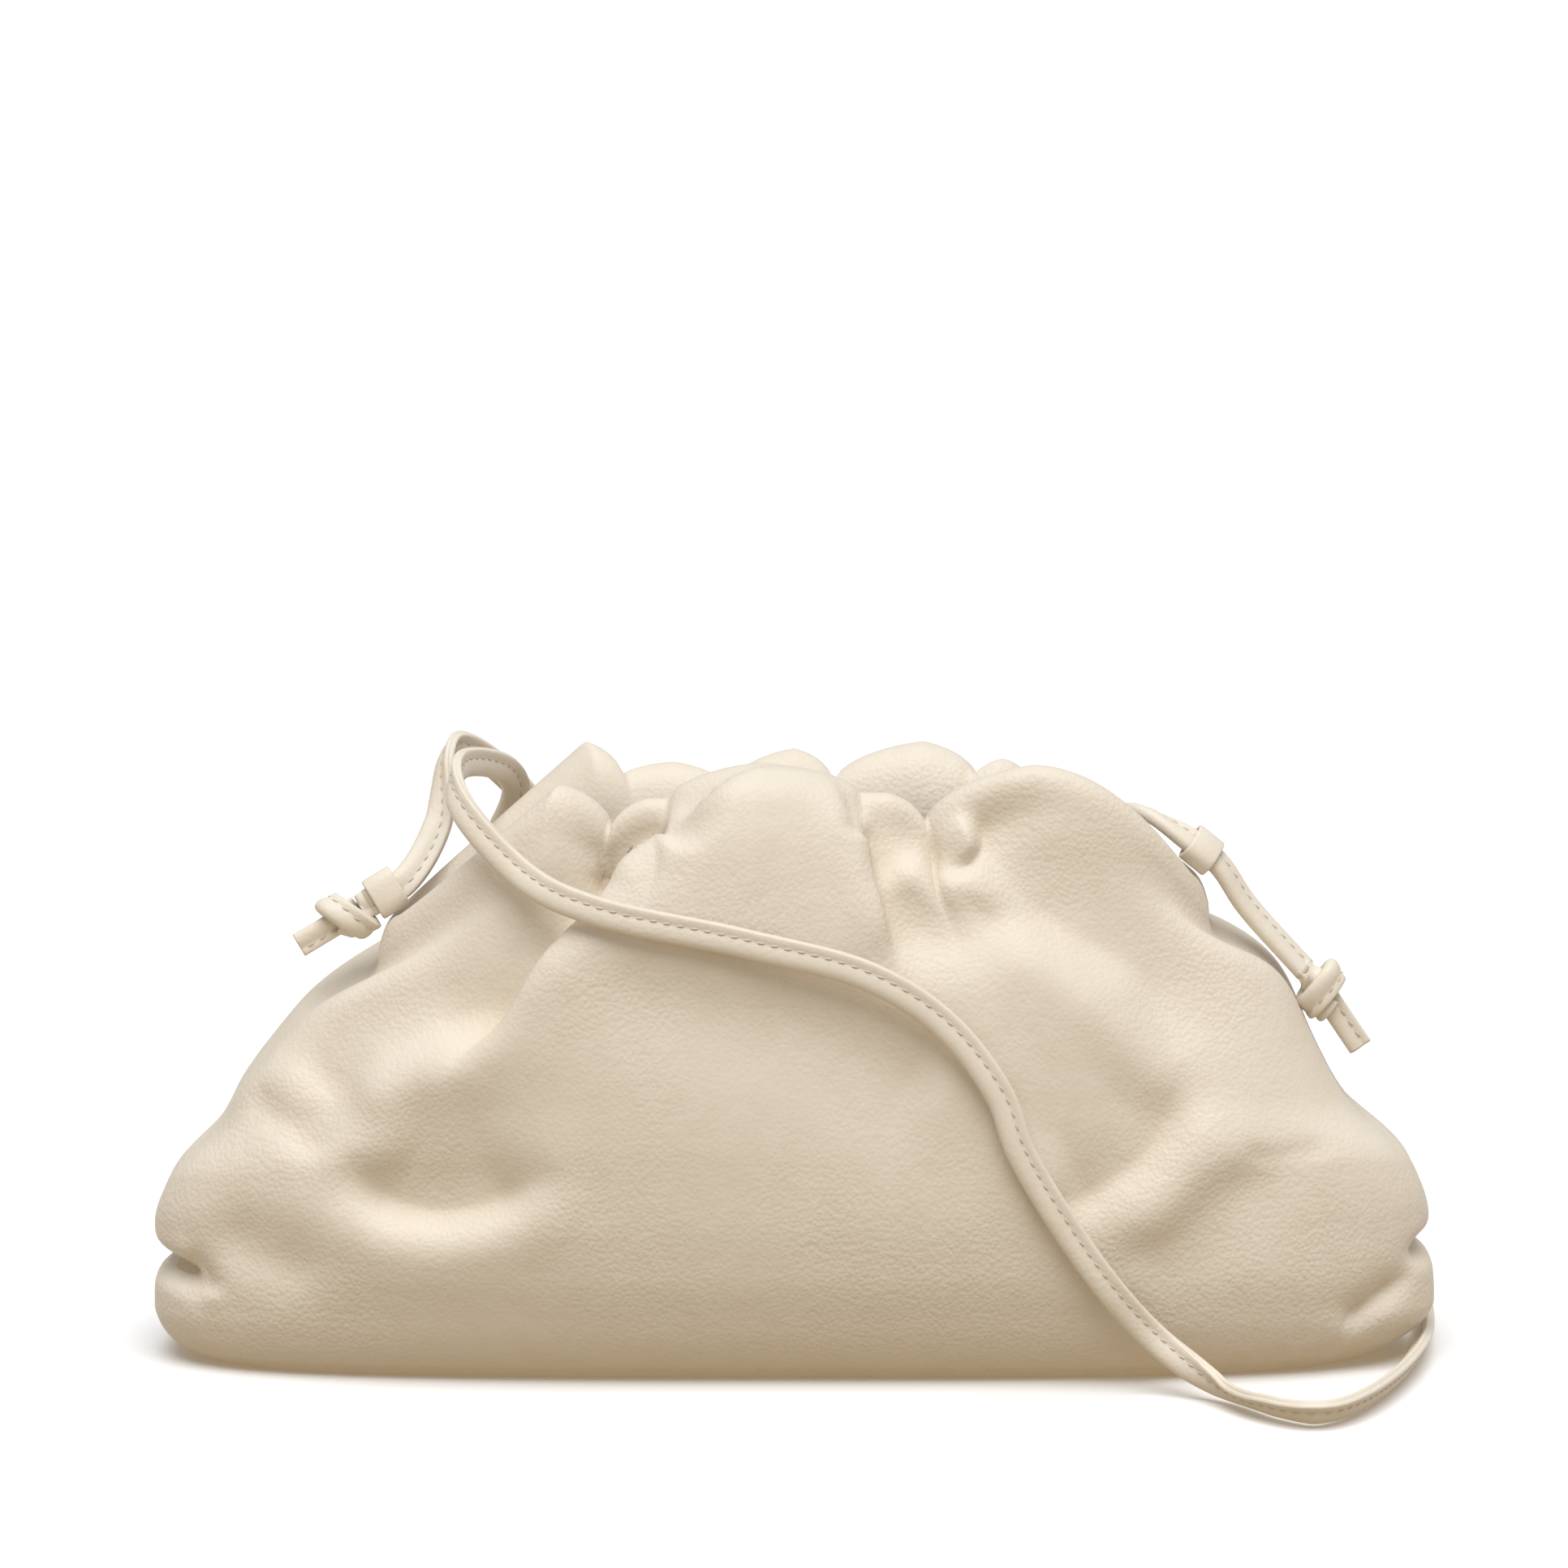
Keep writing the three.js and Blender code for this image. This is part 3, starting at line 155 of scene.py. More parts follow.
# The folds of the body. A path's points are [share of the half width, share of the height] on the
# front or back, and [distance round the end as a share of the half width, share of the height] on
# the left or right end, front first. width and other are shares of the height: how wide the fold is
# on its path's left and right hand. depth is a share of the bag's depth: above 0 the leather stands
# out, below 0 it sinks in. An overlap lifts the side that it names by its depth, tucks the other one
# in and leans over it by lean. sharp is the profile's power, 2 being round. start and end are the
# shares of the path over which the fold dies out, and ends the share of its depth that it keeps there.
FOLDS = [
    {"on": "front", "path": [(-0.19, 0.99), (-0.207, 0.955), (-0.264, 0.873), (-0.302, 0.805), (-0.376, 0.698),
                             (-0.441, 0.601), (-0.496, 0.552), (-0.545, 0.49)],
     "width": 0.30, "other": 0.12, "depth": 0.075, "tuck": 0.075, "lift": "right", "lean": 0.07,
     "start": 0.12,
     "end": 0.45},
    {"on": "front", "path": [(0.10, 0.975), (0.112, 0.914), (0.124, 0.862), (0.135, 0.81), (0.147, 0.741),
                             (0.160, 0.684)],
     "width": 0.07, "other": 0.14, "depth": 0.035, "tuck": 0.055, "lift": "left", "lean": 0.035,
     "start": 0.12,
     "end": 0.4},
    {"on": "front", "path": [(-0.303, 0.93), (-0.302, 0.882), (-0.291, 0.863), (-0.265, 0.85)],
     "width": 0.03, "other": 0.02, "depth": -0.06, "sharp": 1.3},
    {"on": "front", "path": [(-0.793, 0.416), (-0.723, 0.457), (-0.688, 0.515), (-0.633, 0.56),
                             (-0.564, 0.60), (-0.482, 0.63), (-0.40, 0.66)],
     "width": 0.16, "other": 0.06, "depth": -0.070},
    {"on": "front", "path": [(-0.62, 0.51), (-0.53, 0.52)],
     "width": 0.09, "other": 0.10, "depth": 0.045, "ends": 1},
    {"on": "front", "path": [(-0.674, 0.40), (-0.653, 0.343), (-0.605, 0.305), (-0.537, 0.295), (-0.469, 0.311),
                             (-0.415, 0.341), (-0.35, 0.39)],
     "width": 0.15, "other": 0.045, "depth": -0.075, "sharp": 1.6},
    {"on": "front", "path": [(-0.82, 0.34), (-0.688, 0.266), (-0.578, 0.245), (-0.469, 0.262), (-0.367, 0.30),
                             (-0.29, 0.34)],
     "width": 0.05, "other": 0.08, "depth": 0.020},
    {"on": "front", "path": [(-0.85, 0.225), (-0.78, 0.195)],
     "width": 0.07, "other": 0.06, "depth": -0.028, "ends": 1},
    {"on": "front", "path": [(-0.822, 0.446), (-0.743, 0.40)],
     "width": 0.035, "other": 0.03, "depth": -0.018, "ends": 1},
    {"on": "front", "path": [(-0.95, 0.20), (-0.914, 0.167), (-0.90, 0.125)], "width": 0.03, "other": 0.02,
     "depth": -0.030, "sharp": 1.3},
    {"on": "front", "path": [(0.263, 0.96), (0.303, 0.906), (0.343, 0.853), (0.397, 0.791), (0.465, 0.741),
                             (0.54, 0.69), (0.585, 0.61), (0.592, 0.534), (0.577, 0.465)],
     "width": 0.18, "other": 0.075, "depth": -0.082, "start": 0.1, "end": 0.35},
    {"on": "front", "path": [(0.253, 0.947), (0.286, 0.879), (0.311, 0.838), (0.333, 0.777), (0.37, 0.702),
                             (0.431, 0.638), (0.492, 0.566), (0.526, 0.488)],
     "width": 0.035, "other": 0.09, "depth": 0.016},
    {"on": "front", "path": [(0.36, 0.325), (0.424, 0.318), (0.485, 0.349), (0.54, 0.397), (0.577, 0.465),
                             (0.59, 0.55)],
     "width": 0.12, "other": 0.05, "depth": -0.055, "sharp": 1.6},
    {"on": "front", "path": [(0.629, 0.50), (0.615, 0.394), (0.547, 0.306), (0.466, 0.245)],
     "width": 0.10, "other": 0.06, "depth": 0.024},
    {"on": "front", "path": [(0.45, 0.185), (0.574, 0.235), (0.67, 0.32), (0.837, 0.345)],
     "width": 0.05, "other": 0.10, "depth": -0.028},
    {"on": "front", "path": [(0.11, 0.745), (0.181, 0.735), (0.248, 0.745), (0.303, 0.775), (0.335, 0.82)],
     "width": 0.09, "other": 0.07, "depth": -0.038},
    {"on": "front", "path": [(0.15, 0.895), (0.199, 0.865), (0.24, 0.86), (0.275, 0.89)],
     "width": 0.045, "other": 0.055, "depth": 0.040},
    {"on": "front", "path": [(-0.33, 0.715), (-0.26, 0.66), (-0.13, 0.62), (-0.035, 0.605), (0.032, 0.585),
                             (0.099, 0.55), (0.167, 0.51), (0.235, 0.48)],
     "width": 0.085, "other": 0.12, "depth": -0.030, "start": 0.2, "end": 0.15},
    {"on": "front", "path": [(0.67, 0.383), (0.746, 0.38), (0.838, 0.386)], "width": 0.02, "other": 0.02,
     "depth": -0.008},
    {"on": "front", "path": [(0.97, 0.17), (0.911, 0.13), (0.876, 0.104), (0.834, 0.076)],
     "width": 0.02, "other": 0.035, "depth": -0.045, "sharp": 1.4},
    {"on": "back", "path": [(-0.29, 0.92), (-0.34, 0.76), (-0.44, 0.60)], "width": 0.058, "depth": -0.064},
    {"on": "back", "path": [(0.07, 0.92), (0.06, 0.76), (0, 0.58)], "width": 0.060, "depth": -0.068},
    {"on": "back", "path": [(0.30, 0.92), (0.36, 0.74), (0.47, 0.60)], "width": 0.058, "depth": -0.064},
    {"on": "back", "path": [(-0.11, 0.90), (-0.13, 0.76), (-0.17, 0.66)], "width": 0.050, "depth": -0.050},
    {"on": "back", "path": [(-0.21, 0.88), (-0.26, 0.62)], "width": 0.060, "depth": 0.045},
    {"on": "back", "path": [(0.20, 0.88), (0.22, 0.60)], "width": 0.070, "depth": 0.055},
    {"on": "back", "path": [(0.63, 0.56), (0.60, 0.42), (0.48, 0.36), (0.36, 0.43)], "width": 0.068,
     "depth": -0.060},
    {"on": "back", "path": [(0.48, 0.54), (0.54, 0.47)], "width": 0.075, "depth": 0.045},
    {"on": "back", "path": [(-0.66, 0.56), (-0.58, 0.42), (-0.42, 0.38)], "width": 0.066, "depth": -0.058},
    {"on": "back", "path": [(-0.70, 0.30), (-0.30, 0.24), (0.10, 0.26), (0.50, 0.22)], "width": 0.070,
     "depth": 0.030},
    {"on": "left", "path": [(-0.10, 0.13), (-0.05, 0.16), (0, 0.168), (0.05, 0.17), (0.10, 0.15)],
     "width": 0.024, "depth": -0.075},
    {"on": "right", "path": [(-0.07, 0.19), (-0.02, 0.195), (0, 0.195), (0.04, 0.20), (0.09, 0.19)],
     "width": 0.024, "depth": -0.060},
]
FOLD_STEPS = 12
FOLD_REACH = 2.6
SIDE_BLEND = 0.7
END_ZONE = 0.1
OVERLAP_SHARP = 0.007
NEAR = 0.0003
TAPER = 0.3
FOLDS_START = 0.06
FOLDS_GONE = 1.75


def smoothstep(x, low, high):
    """0 below low, 1 above high and smooth between."""
    s = np.clip((x - low) / (high - low), 0, 1)
    return s * s * (3 - 2 * s)


def lerp(a, b, share):
    return a + (b - a) * share


def column(table, key, at, name):
    """A column of a table at many places, through a smooth curve that never overshoots its rows."""
    xs = np.array([row[key] for row in table], float)
    ys = np.array([row[name] for row in table], float)
    steps = np.diff(ys) / np.diff(xs)
    slopes = np.zeros(len(xs))
    slopes[0], slopes[-1] = steps[0], steps[-1]
    left, right = steps[:-1], steps[1:]
    same = left * right > 0
    slopes[1:-1][same] = 2 * left[same] * right[same] / (left[same] + right[same])
    k = np.clip(np.searchsorted(xs, at) - 1, 0, len(xs) - 2)
    span = xs[k + 1] - xs[k]
    s = np.clip((at - xs[k]) / span, 0, 1)
    return ((2 * s ** 3 - 3 * s ** 2 + 1) * ys[k] + (s ** 3 - 2 * s ** 2 + s) * span * slopes[k]
            + (3 * s ** 2 - 2 * s ** 3) * ys[k + 1] + (s ** 3 - s ** 2) * span * slopes[k + 1])


def gather_side(table, across, name):
    """A column of the gathers: it leaves a crease steeply and comes over a lobe in a round arc."""
    value = np.zeros_like(across)
    for k in range(len(table) - 1):
        turned = table[k]["kind"] == "lobe" or k == len(table) - 2
        low, lobe = (table[k + 1], table[k]) if turned else (table[k], table[k + 1])
        inside = (across >= table[k]["at"]) & (across <= table[k + 1]["at"])
        s = np.clip((across[inside] - low["at"]) / (lobe["at"] - low["at"]), 0, 1)
        rounded = s * (2 - s)
        share = {"straight": s, "rounded": rounded, "crease": lerp(s, np.sqrt(rounded), CREASE_STEEP)}
        value[inside] = lerp(low[name], lobe[name], share[low["kind"]])
    return value


def gather(side, across, name):
    front = gather_side(FRONT_GATHERS, across, name)
    return np.where(side < 0, front, gather_side(BACK_GATHERS, across, name))


def arch(across):
    """Height of the top of the wall, without the gathers."""
    drop = np.where(across < 0, LEFT_MOUTH_DROP, RIGHT_MOUTH_DROP)
    power = np.where(across < 0, LEFT_SHOULDER, RIGHT_SHOULDER)
    return BAG_HEIGHT - drop + (drop - ARCH_DROP) * (1 - np.abs(across) ** power) ** (1 / power)


def swing(across, square):
    """How far an outline has come out sideways at a share of its half length."""
    return np.maximum(1 - np.abs(across) ** square, 0) ** (1 / square)


def width_share(across, rise):
    left = column(SECTIONS, "rise", rise, "left")
    return np.where(across < 0, left, column(SECTIONS, "rise", rise, "right"))


def wall_points(across, side, rise, plain=False):
    """Points of the smooth body, before the folds. The plain body hasn't even its gathers."""
    gathered = smoothstep(rise, GATHERS_START, 1)
    thick = PLAIN_THICK if plain else gather(side, across, "thick")
    rolled = MOUTH_GAP / 2 + ROLL_THICKNESS * thick
    half_depth = BAG_DEPTH / 2 * column(SECTIONS, "rise", rise, "depth")
    half_depth = half_depth + (rolled - BAG_DEPTH / 2 * SECTIONS[-1]["depth"]) * gathered
    half_width = lerp(BAG_WIDTH / 2 * width_share(across, rise), MOUTH_LENGTH / 2, gathered ** 2)
    top = arch(across) if plain else gather(side, across, "crest") * BAG_HEIGHT - ROLL_HEIGHT
    return np.stack([half_width * across,
                     side * half_depth * swing(across, column(SECTIONS, "rise", rise, "square")),
                     rise * arch(across) + (top - arch(across)) * gathered ** CREST_POWER], -1)


def slit_points(across, side, plain=False):
    """The edge of the slit, at the height of the top of the wall."""
    point = wall_points(across, side, np.ones_like(across), plain)
    point[..., 0] = (MOUTH_LENGTH / 2 - END_ROLL) * across
    point[..., 1] = side * MOUTH_GAP / 2 * swing(across, SLIT_SQUARE)
    return point


def roll_points(across, side, turn, plain=False):
    """Points on the roll of the gathers, from the top of the wall to the facing at pi."""
    outer = wall_points(across, side, np.ones_like(across), plain)
    start = math.radians(ROLL_LEAN)
    over = (math.cos(start) - math.cos(turn)) / (math.cos(start) + 1)
    point = lerp(outer, slit_points(across, side, plain), over)
    point[..., 2] = outer[..., 2] + ROLL_HEIGHT * (math.sin(turn) - math.sin(start)) / (1 - math.sin(start))
    return point


def facing_points(across, side, share, plain=False):
    """Points on the facing that hangs down inside the mouth."""
    point = roll_points(across, side, math.pi, plain)
    point[..., 2] = lerp(point[..., 2], arch(across) - FACING_DROP, share)
    return point


def place_on(x, side, z):
    """The point of the smooth body at a share of the half width and of the height."""
    across, rise = np.array([x], float), np.array([z], float)
    for _ in range(PLACE_TRIES):
        rise = np.clip(z * BAG_HEIGHT / arch(across), 0, 1)
        across = np.clip(x / width_share(np.array([x], float), rise), -1, 1)
    return wall_points(across, np.array([side]), rise)[0]


def smooth_line(points, steps):
    """A centripetal curve through points, with so many steps between two of them."""
    p = np.asarray(points, float)
    ends = (2 * p[:1] - p[1:2], 2 * p[-1:] - p[-2:-1])
    q = np.concatenate([ends[0], p, ends[1]])
    gap = np.maximum(np.sqrt(np.linalg.norm(np.diff(q, axis=0), axis=1)), 1e-6)[:, None]
    d0, d1, d2 = gap[:-2], gap[1:-1], gap[2:]
    p0, p1, p2, p3 = q[:-3], q[1:-2], q[2:-1], q[3:]
    t1 = ((p1 - p0) / d0 - (p2 - p0) / (d0 + d1) + (p2 - p1) / d1) * d1
    t2 = ((p2 - p1) / d1 - (p3 - p1) / (d1 + d2) + (p3 - p2) / d2) * d1
    s = (np.arange(steps) / steps)[None, :, None]
    a, b, c, d = p1[:, None], p2[:, None], t1[:, None], t2[:, None]
    line = (2 * s ** 3 - 3 * s ** 2 + 1) * a + (s ** 3 - 2 * s ** 2 + s) * c
    line = line + (3 * s ** 2 - 2 * s ** 3) * b + (s ** 3 - s ** 2) * d
    return np.concatenate([line.reshape(-1, p.shape[1]), p[-1:]])


def fold_line(fold):
    """A fold's path as points on the smooth body."""
    ends = {"left": -1, "right": 1}
    sides = {"front": -1, "back": 1}
    points = []
    for x, z in fold["path"]:
        if fold["on"] in sides:
            points.append(place_on(x, sides[fold["on"]], z))
        else:
            points.append(place_on(ends[fold["on"]] * (1 - abs(x)), -1 if x < 0 else 1, z))
    return smooth_line(points, FOLD_STEPS)


def beside(line, points):
    """Where points lie beside a line: share along it, distance, distance to its right and that way.

    Each is a mean over the line's pieces in which the nearest ones count most, so that it stays
    smooth on the inside of a bend.
    """
    ways = np.diff(line, axis=0)
    lengths = np.maximum(np.linalg.norm(ways, axis=1), 1e-9)
    from_start = points[0][:, None] - line[None, :-1]
    share = np.clip(np.einsum("nmk,mk->nm", from_start, ways) / lengths ** 2, 0, 1)
    gap = from_start - share[..., None] * ways
    distance = np.linalg.norm(gap, axis=2)
    weight = lengths / (distance ** 2 + NEAR ** 2) ** 3
    weight /= weight.sum(1, keepdims=True)
    rights = np.cross(ways / lengths[:, None], points[1][:, None])
    along = ((np.arange(len(ways)) + share) * weight).sum(1) / len(ways)
    right = ((gap * rights).sum(2) * weight).sum(1)
    return along, (distance * weight).sum(1), right, (rights * weight[..., None]).sum(1)


def folded(points, normals, side, shown):
    """The smooth body's points moved by all folds."""
    moved = np.zeros_like(points)
    sharp = OVERLAP_SHARP * BAG_HEIGHT
    for fold in FOLDS:
        line = fold_line(fold)
        width = fold["width"] * BAG_HEIGHT
        other = fold.get("other", fold["width"]) * BAG_HEIGHT
        reach = FOLD_REACH * max(width, other)
        near = ((points > line.min(0) - reach) & (points < line.max(0) + reach)).all(1) & (shown > 0)
        if fold["on"] == "front":
            near &= side <= 0
        if fold["on"] == "back":
            near &= side >= 0
        if not near.any():
            continue
        along, distance, right, rightwards = beside(line, (points[near], normals[near]))
        fade = smoothstep(along, 0, fold.get("start", TAPER))
        fade *= smoothstep(1 - along, 0, fold.get("end", TAPER))
        strength = BAG_DEPTH * shown[near]
        if "lift" not in fold:
            wide = lerp(width, other, smoothstep(right / np.maximum(distance, 1e-9), -SIDE_BLEND, SIDE_BLEND))
            lift = fold["depth"] * np.exp(-(distance / wide) ** fold.get("sharp", 2))
            kept = np.maximum(fade, fold.get("ends", 0))
            moved[near] += normals[near] * (lift * strength * kept)[:, None]
            continue
        turned = -1 if fold["lift"] == "right" else 1
        high = turned * right
        up = 1 / (1 + np.exp(-high / sharp))
        lift = fold["depth"] * np.exp(-(distance / width) ** 2) * up
        lift -= fold.get("tuck", 0) * np.exp(-(distance / other) ** 2) * (1 - up)
        over = high / (2 * sharp)
        over = over * np.exp(-over ** 2 - (distance / width) ** 2)
        over *= fold.get("lean", 0) * strength * fade
        moved[near] += normals[near] * (lift * strength * fade)[:, None]
        moved[near] -= turned * rightwards * over[:, None]
    return points + moved


def stations():
    """Stations round the bag, evenly spaced along its outline, closer on the front."""
    turn = np.linspace(0, np.pi, OUTLINE_STEPS)
    across = -np.cos(turn)
    outline = np.stack([across * BAG_WIDTH / 2, swing(across, OUTLINE_SQUARE) * BAG_DEPTH / 2], 1)
    length = np.concatenate([[0], np.cumsum(np.linalg.norm(np.diff(outline, axis=0), axis=1))])
    front = np.interp(np.linspace(0, length[-1], FRONT_STATIONS + 1), length, across)
    back = np.interp(np.linspace(length[-1], 0, BACK_STATIONS + 1), length, across)
    side = np.concatenate([-np.ones(FRONT_STATIONS), np.ones(BACK_STATIONS)])
    return np.concatenate([front[:-1], back[:-1]]), side


def grid_normals(rings):
    """The outward normals of a grid of rings."""
    around = np.roll(rings, -1, 1) - np.roll(rings, 1, 1)
    up = np.gradient(rings, axis=0)
    normals = np.cross(around, up)
    return normals / np.maximum(np.linalg.norm(normals, axis=2, keepdims=True), 1e-12)


def shell_rings():
    """The outside and inside of the shell as rings."""
    across, side = stations()
    middle = np.sqrt(np.maximum(1 - across ** 2, 0))
    rises = lerp(np.linspace(0, 1, WALL_ROWS), np.linspace(0, 1, WALL_ROWS) ** WALL_CROWDING, 0.5)
    foot = [wall_points(across, side, np.zeros_like(across)) * share for share in FLOOR_RINGS]
    turns = np.linspace(math.radians(ROLL_LEAN), math.pi, ROLL_ROWS + 1)[1:]
    body, plain = [np.array([wall_points(across, side, np.full_like(across, rise), kind) for rise in rises]
                            + [roll_points(across, side, turn, kind) for turn in turns])
                   for kind in (False, True)]
    facing = [facing_points(across, side, (k + 1) / FACING_ROWS) for k in range(FACING_ROWS)]
    shown = np.concatenate([smoothstep(rises, 0, FOLDS_START),
                            1 - smoothstep(turns, math.radians(ROLL_LEAN), FOLDS_GONE)])
    shown = np.repeat(shown[:, None], len(across), 1)
    sides = np.repeat(np.where(middle < END_ZONE, 0, side)[None], len(body), 0)
    moved = folded(body.reshape(-1, 3), grid_normals(plain).reshape(-1, 3), sides.ravel(), shown.ravel())
    outside = np.concatenate([np.array(foot), moved.reshape(body.shape), np.array(facing)])
    normals = grid_normals(outside)
    normals[:len(foot)] = (0, 0, -1)
    kept = np.arange(len(outside) - 1, -1, -INSIDE_STEP)
    inside = outside[kept] - LEATHER * normals[kept]
    inside[..., 2] = np.maximum(inside[..., 2], LEATHER)
    return np.concatenate([outside, inside])


def crease_shade_mask(rings):
    """Where painted shade darkens the leather's colour in its creases: how hollow it lies at each point, 0 on
    ridges, 1 in a sharp valley.
    """
    outside = rings[:OUTSIDE_ROWS]
    normals = grid_normals(outside)
    soft = outside.copy()
    for _ in range(SHADE_MASK_STEPS):
        soft[1:-1] = (soft[1:-1] * 2 + soft[2:] + soft[:-2]) / 4
        soft = (soft * 2 + np.roll(soft, 1, 1) + np.roll(soft, -1, 1)) / 4
    depth = ((soft - outside) * normals).sum(2)
    share = np.zeros(rings.shape[:2])
    share[:OUTSIDE_ROWS] = smoothstep(depth, 0, SHADE_MASK_DEPTH)
    return share


def rings_mesh(rings):
    """Vertices and faces of a closed body from rings of equally many points."""
    rows, around = rings.shape[:2]
    ends = np.array([rings[0].mean(0), rings[-1].mean(0)])
    vertices = np.concatenate([rings.reshape(-1, 3), ends])
    first, last = rows * around, rows * around + 1
    i = np.arange(around)
    j = (i + 1) % around
    faces = []
    for row in range(rows - 1):
        a, b = row * around, (row + 1) * around
        faces.append(np.stack([a + i, a + j, b + j, b + i], 1))
    quads = np.concatenate(faces).tolist()
    caps = [(first, b, a) for a, b in zip(i.tolist(), j.tolist())]
    top = (rows - 1) * around
    caps += [(top + a, top + b, last) for a, b in zip(i.tolist(), j.tolist())]
    return vertices, quads + caps


# Driving sizes of the strap and what is on it
STRAP_WIDTH = 0.005
STRAP_THICKNESS = 0.0024
STRAP_STEP = 0.0009
ROUTE_STEPS = 60
CLEARANCE = 0.00035
LOOP_LENGTH = 0.0054
LOOP_WALL = 0.0008
LOOP_PLAY = 0.0005
LOOP_STRAIGHT = 0.001
KNOT_LENGTH = 0.0072
KNOT_PLAY = 0.0012
LEFT_TAIL = 0.0064
RIGHT_TAIL = 0.009
WRAP_TURNS = 1.5
WRAP_ROWS = 36
WRAP_ACROSS = 0.0037
WRAP_DEEP = 0.0026
WRAP_SHIFT = 0.0016
WRAP_LEAN = 0.0015
WRAP_STEP = 0.0004
WRAP_WIDE = 0.92
WRAP_START = 0.55
WRAP_TUCKED = 0.9
WRAP_TUCK = 3
WRAP_CROSS = 1.3
TAIL_WIDE = 0.84
TAIL_THICK = 0.95
LEAD_WIDE = 0.95
LEAD_THICK = 0.94
LOOP_ROUND = 48
LOOP_SQUARE = 0.75
LIP_STEPS = 7
STITCH_PITCH = 0.0023
STITCH_LENGTH = 0.0016
STITCH_RADIUS = 0.00019
STITCH_LINE = 0.0009
STITCH_BASE = 0.0008
STITCH_ARCH = 0.0001
STITCH_SINK = 0.00006
STITCH_SLANT = 0.0001
STITCH_SIDES = 6
STITCH_RINGS = 4

LEFT_LOOP = (-0.0703, 0.0004, 0.0809)
LEFT_LOOP_WAY = (0.84, 0.16, 0.50)
RIGHT_LOOP = (0.0700, 0.0006, 0.0883)
RIGHT_LOOP_WAY = (0.78, 0, -0.63)
RIGHT_KNOT = (0.0907, 0.0006, 0.0643)
LEFT_TAIL_WAY = (-0.86, -0.14, -0.50)
RIGHT_TAIL_WAY = (0.56, 0, -0.83)

# The strap's route from the left loop to the right one: a point of its middle and the way that its
# stitched face looks there.
STRAP_ROUTE = [
    ((-0.0618, 0.0082, 0.0914), (0.30, 0.90, 0)),
    ((-0.0606, 0.0150, 0.1018), (0.90, 0.10, -0.40)),
    ((-0.0588, 0.0205, 0.1034), (0.70, -0.60, -0.40)),
    ((-0.0475, 0.0310, 0.0925), (0, -1, 0)),
    ((-0.0080, 0.0405, 0.0125), (0, -1, 0)),
    ((0.0130, 0.0620, 0.0029), (0.80, 0.50, 0)),
    ((-0.0380, 0.0780, 0.0029), (0, 0, 1)),
    ((-0.0975, 0.0570, 0.0029), (1, 0, 0)),
    ((-0.0840, 0.0365, 0.0180), (0, 1, 0)),
    ((-0.0540, 0.0280, 0.0820), (0, 1, 0)),
    ((-0.0488, 0.0225, 0.0945), (-0.10, 0.99, 0.10)),
    ((-0.0502, 0.0165, 0.0996), (-0.60, 0.70, 0.40)),
    ((-0.0571, 0.0005, 0.1030), (-0.99, 0.10, 0)),
    ((-0.0568, -0.0125, 0.0986), (-0.55, -0.80, 0.10)),
    ((-0.0454, -0.0208, 0.0874), (0, -1, 0)),
    ((-0.0341, -0.0280, 0.0832), (0, -1, 0)),
    ((-0.0080, -0.0294, 0.0776), (0, -1, 0)),
    ((0.0130, -0.0302, 0.0720), (0, -1, 0)),
    ((0.0255, -0.0304, 0.0638), (0, -1, 0)),
    ((0.0345, -0.0314, 0.0521), (0, -1, 0)),
    ((0.0382, -0.0321, 0.0422), (0, -1, 0)),
    ((0.0518, -0.0320, 0.0206), (0, -1, 0)),
    ((0.0620, -0.0302, 0.0089), (0, -1, 0)),
    ((0.0715, -0.0365, 0.0034), (0, -0.85, -0.50)),
    ((0.0795, -0.0475, 0.0029), (0, -0.78, -0.62)),
    ((0.0865, -0.0520, 0.0029), (0.10, -0.77, -0.63)),
    ((0.0935, -0.0460, 0.0029), (0.60, -0.50, -0.60)),
    ((0.1095, 0, 0.0029), (0.85, 0, -0.50)),
    ((0.1040, 0.0570, 0.0029), (0.85, 0.50, 0)),
    ((0.0660, 0.0780, 0.0029), (0, 0, 1)),
    ((0.0275, 0.0620, 0.0029), (1, 0, 0)),
    ((0.0330, 0.0395, 0.0120), (0, 1, 0)),
    ((0.0515, 0.0345, 0.0500), (0, 1, 0)),
    ((0.0578, 0.0195, 0.0870), (0, 0.85, 0.50)),
    ((0.0586, 0.0105, 0.0932), (0.10, 0.50, 0.85)),
    ((0.0610, 0.0036, 0.0940), (0.20, 0.20, 0.96)),
]
RIGHT_STRAND = ((0.0778, 0.0010, 0.0787), (0.62, -0.55, 0.50))

# Half of the strap's section: u runs from the rolled edge to the cut one, v is half the thickness.
STRAP_SECTION = [
    (-0.00250, 0), (-0.00243, 0.00045), (-0.00218, 0.00082), (-0.00175, 0.00108), (-0.0012, 0.0012),
    (-0.0006, 0.00119), (-0.00005, 0.00109), (0.0004, 0.00096), (0.00075, 0.00082), (0.00095, 0.00080),
    (0.00125, 0.00087), (0.0017, 0.00090), (0.0021, 0.00088), (0.00236, 0.00080), (0.0025, 0.00062),
    (0.0025, 0.00014), (0.0024, 0),
]


def unit(vector):
    v = np.asarray(vector, float)
    return v / np.linalg.norm(v)


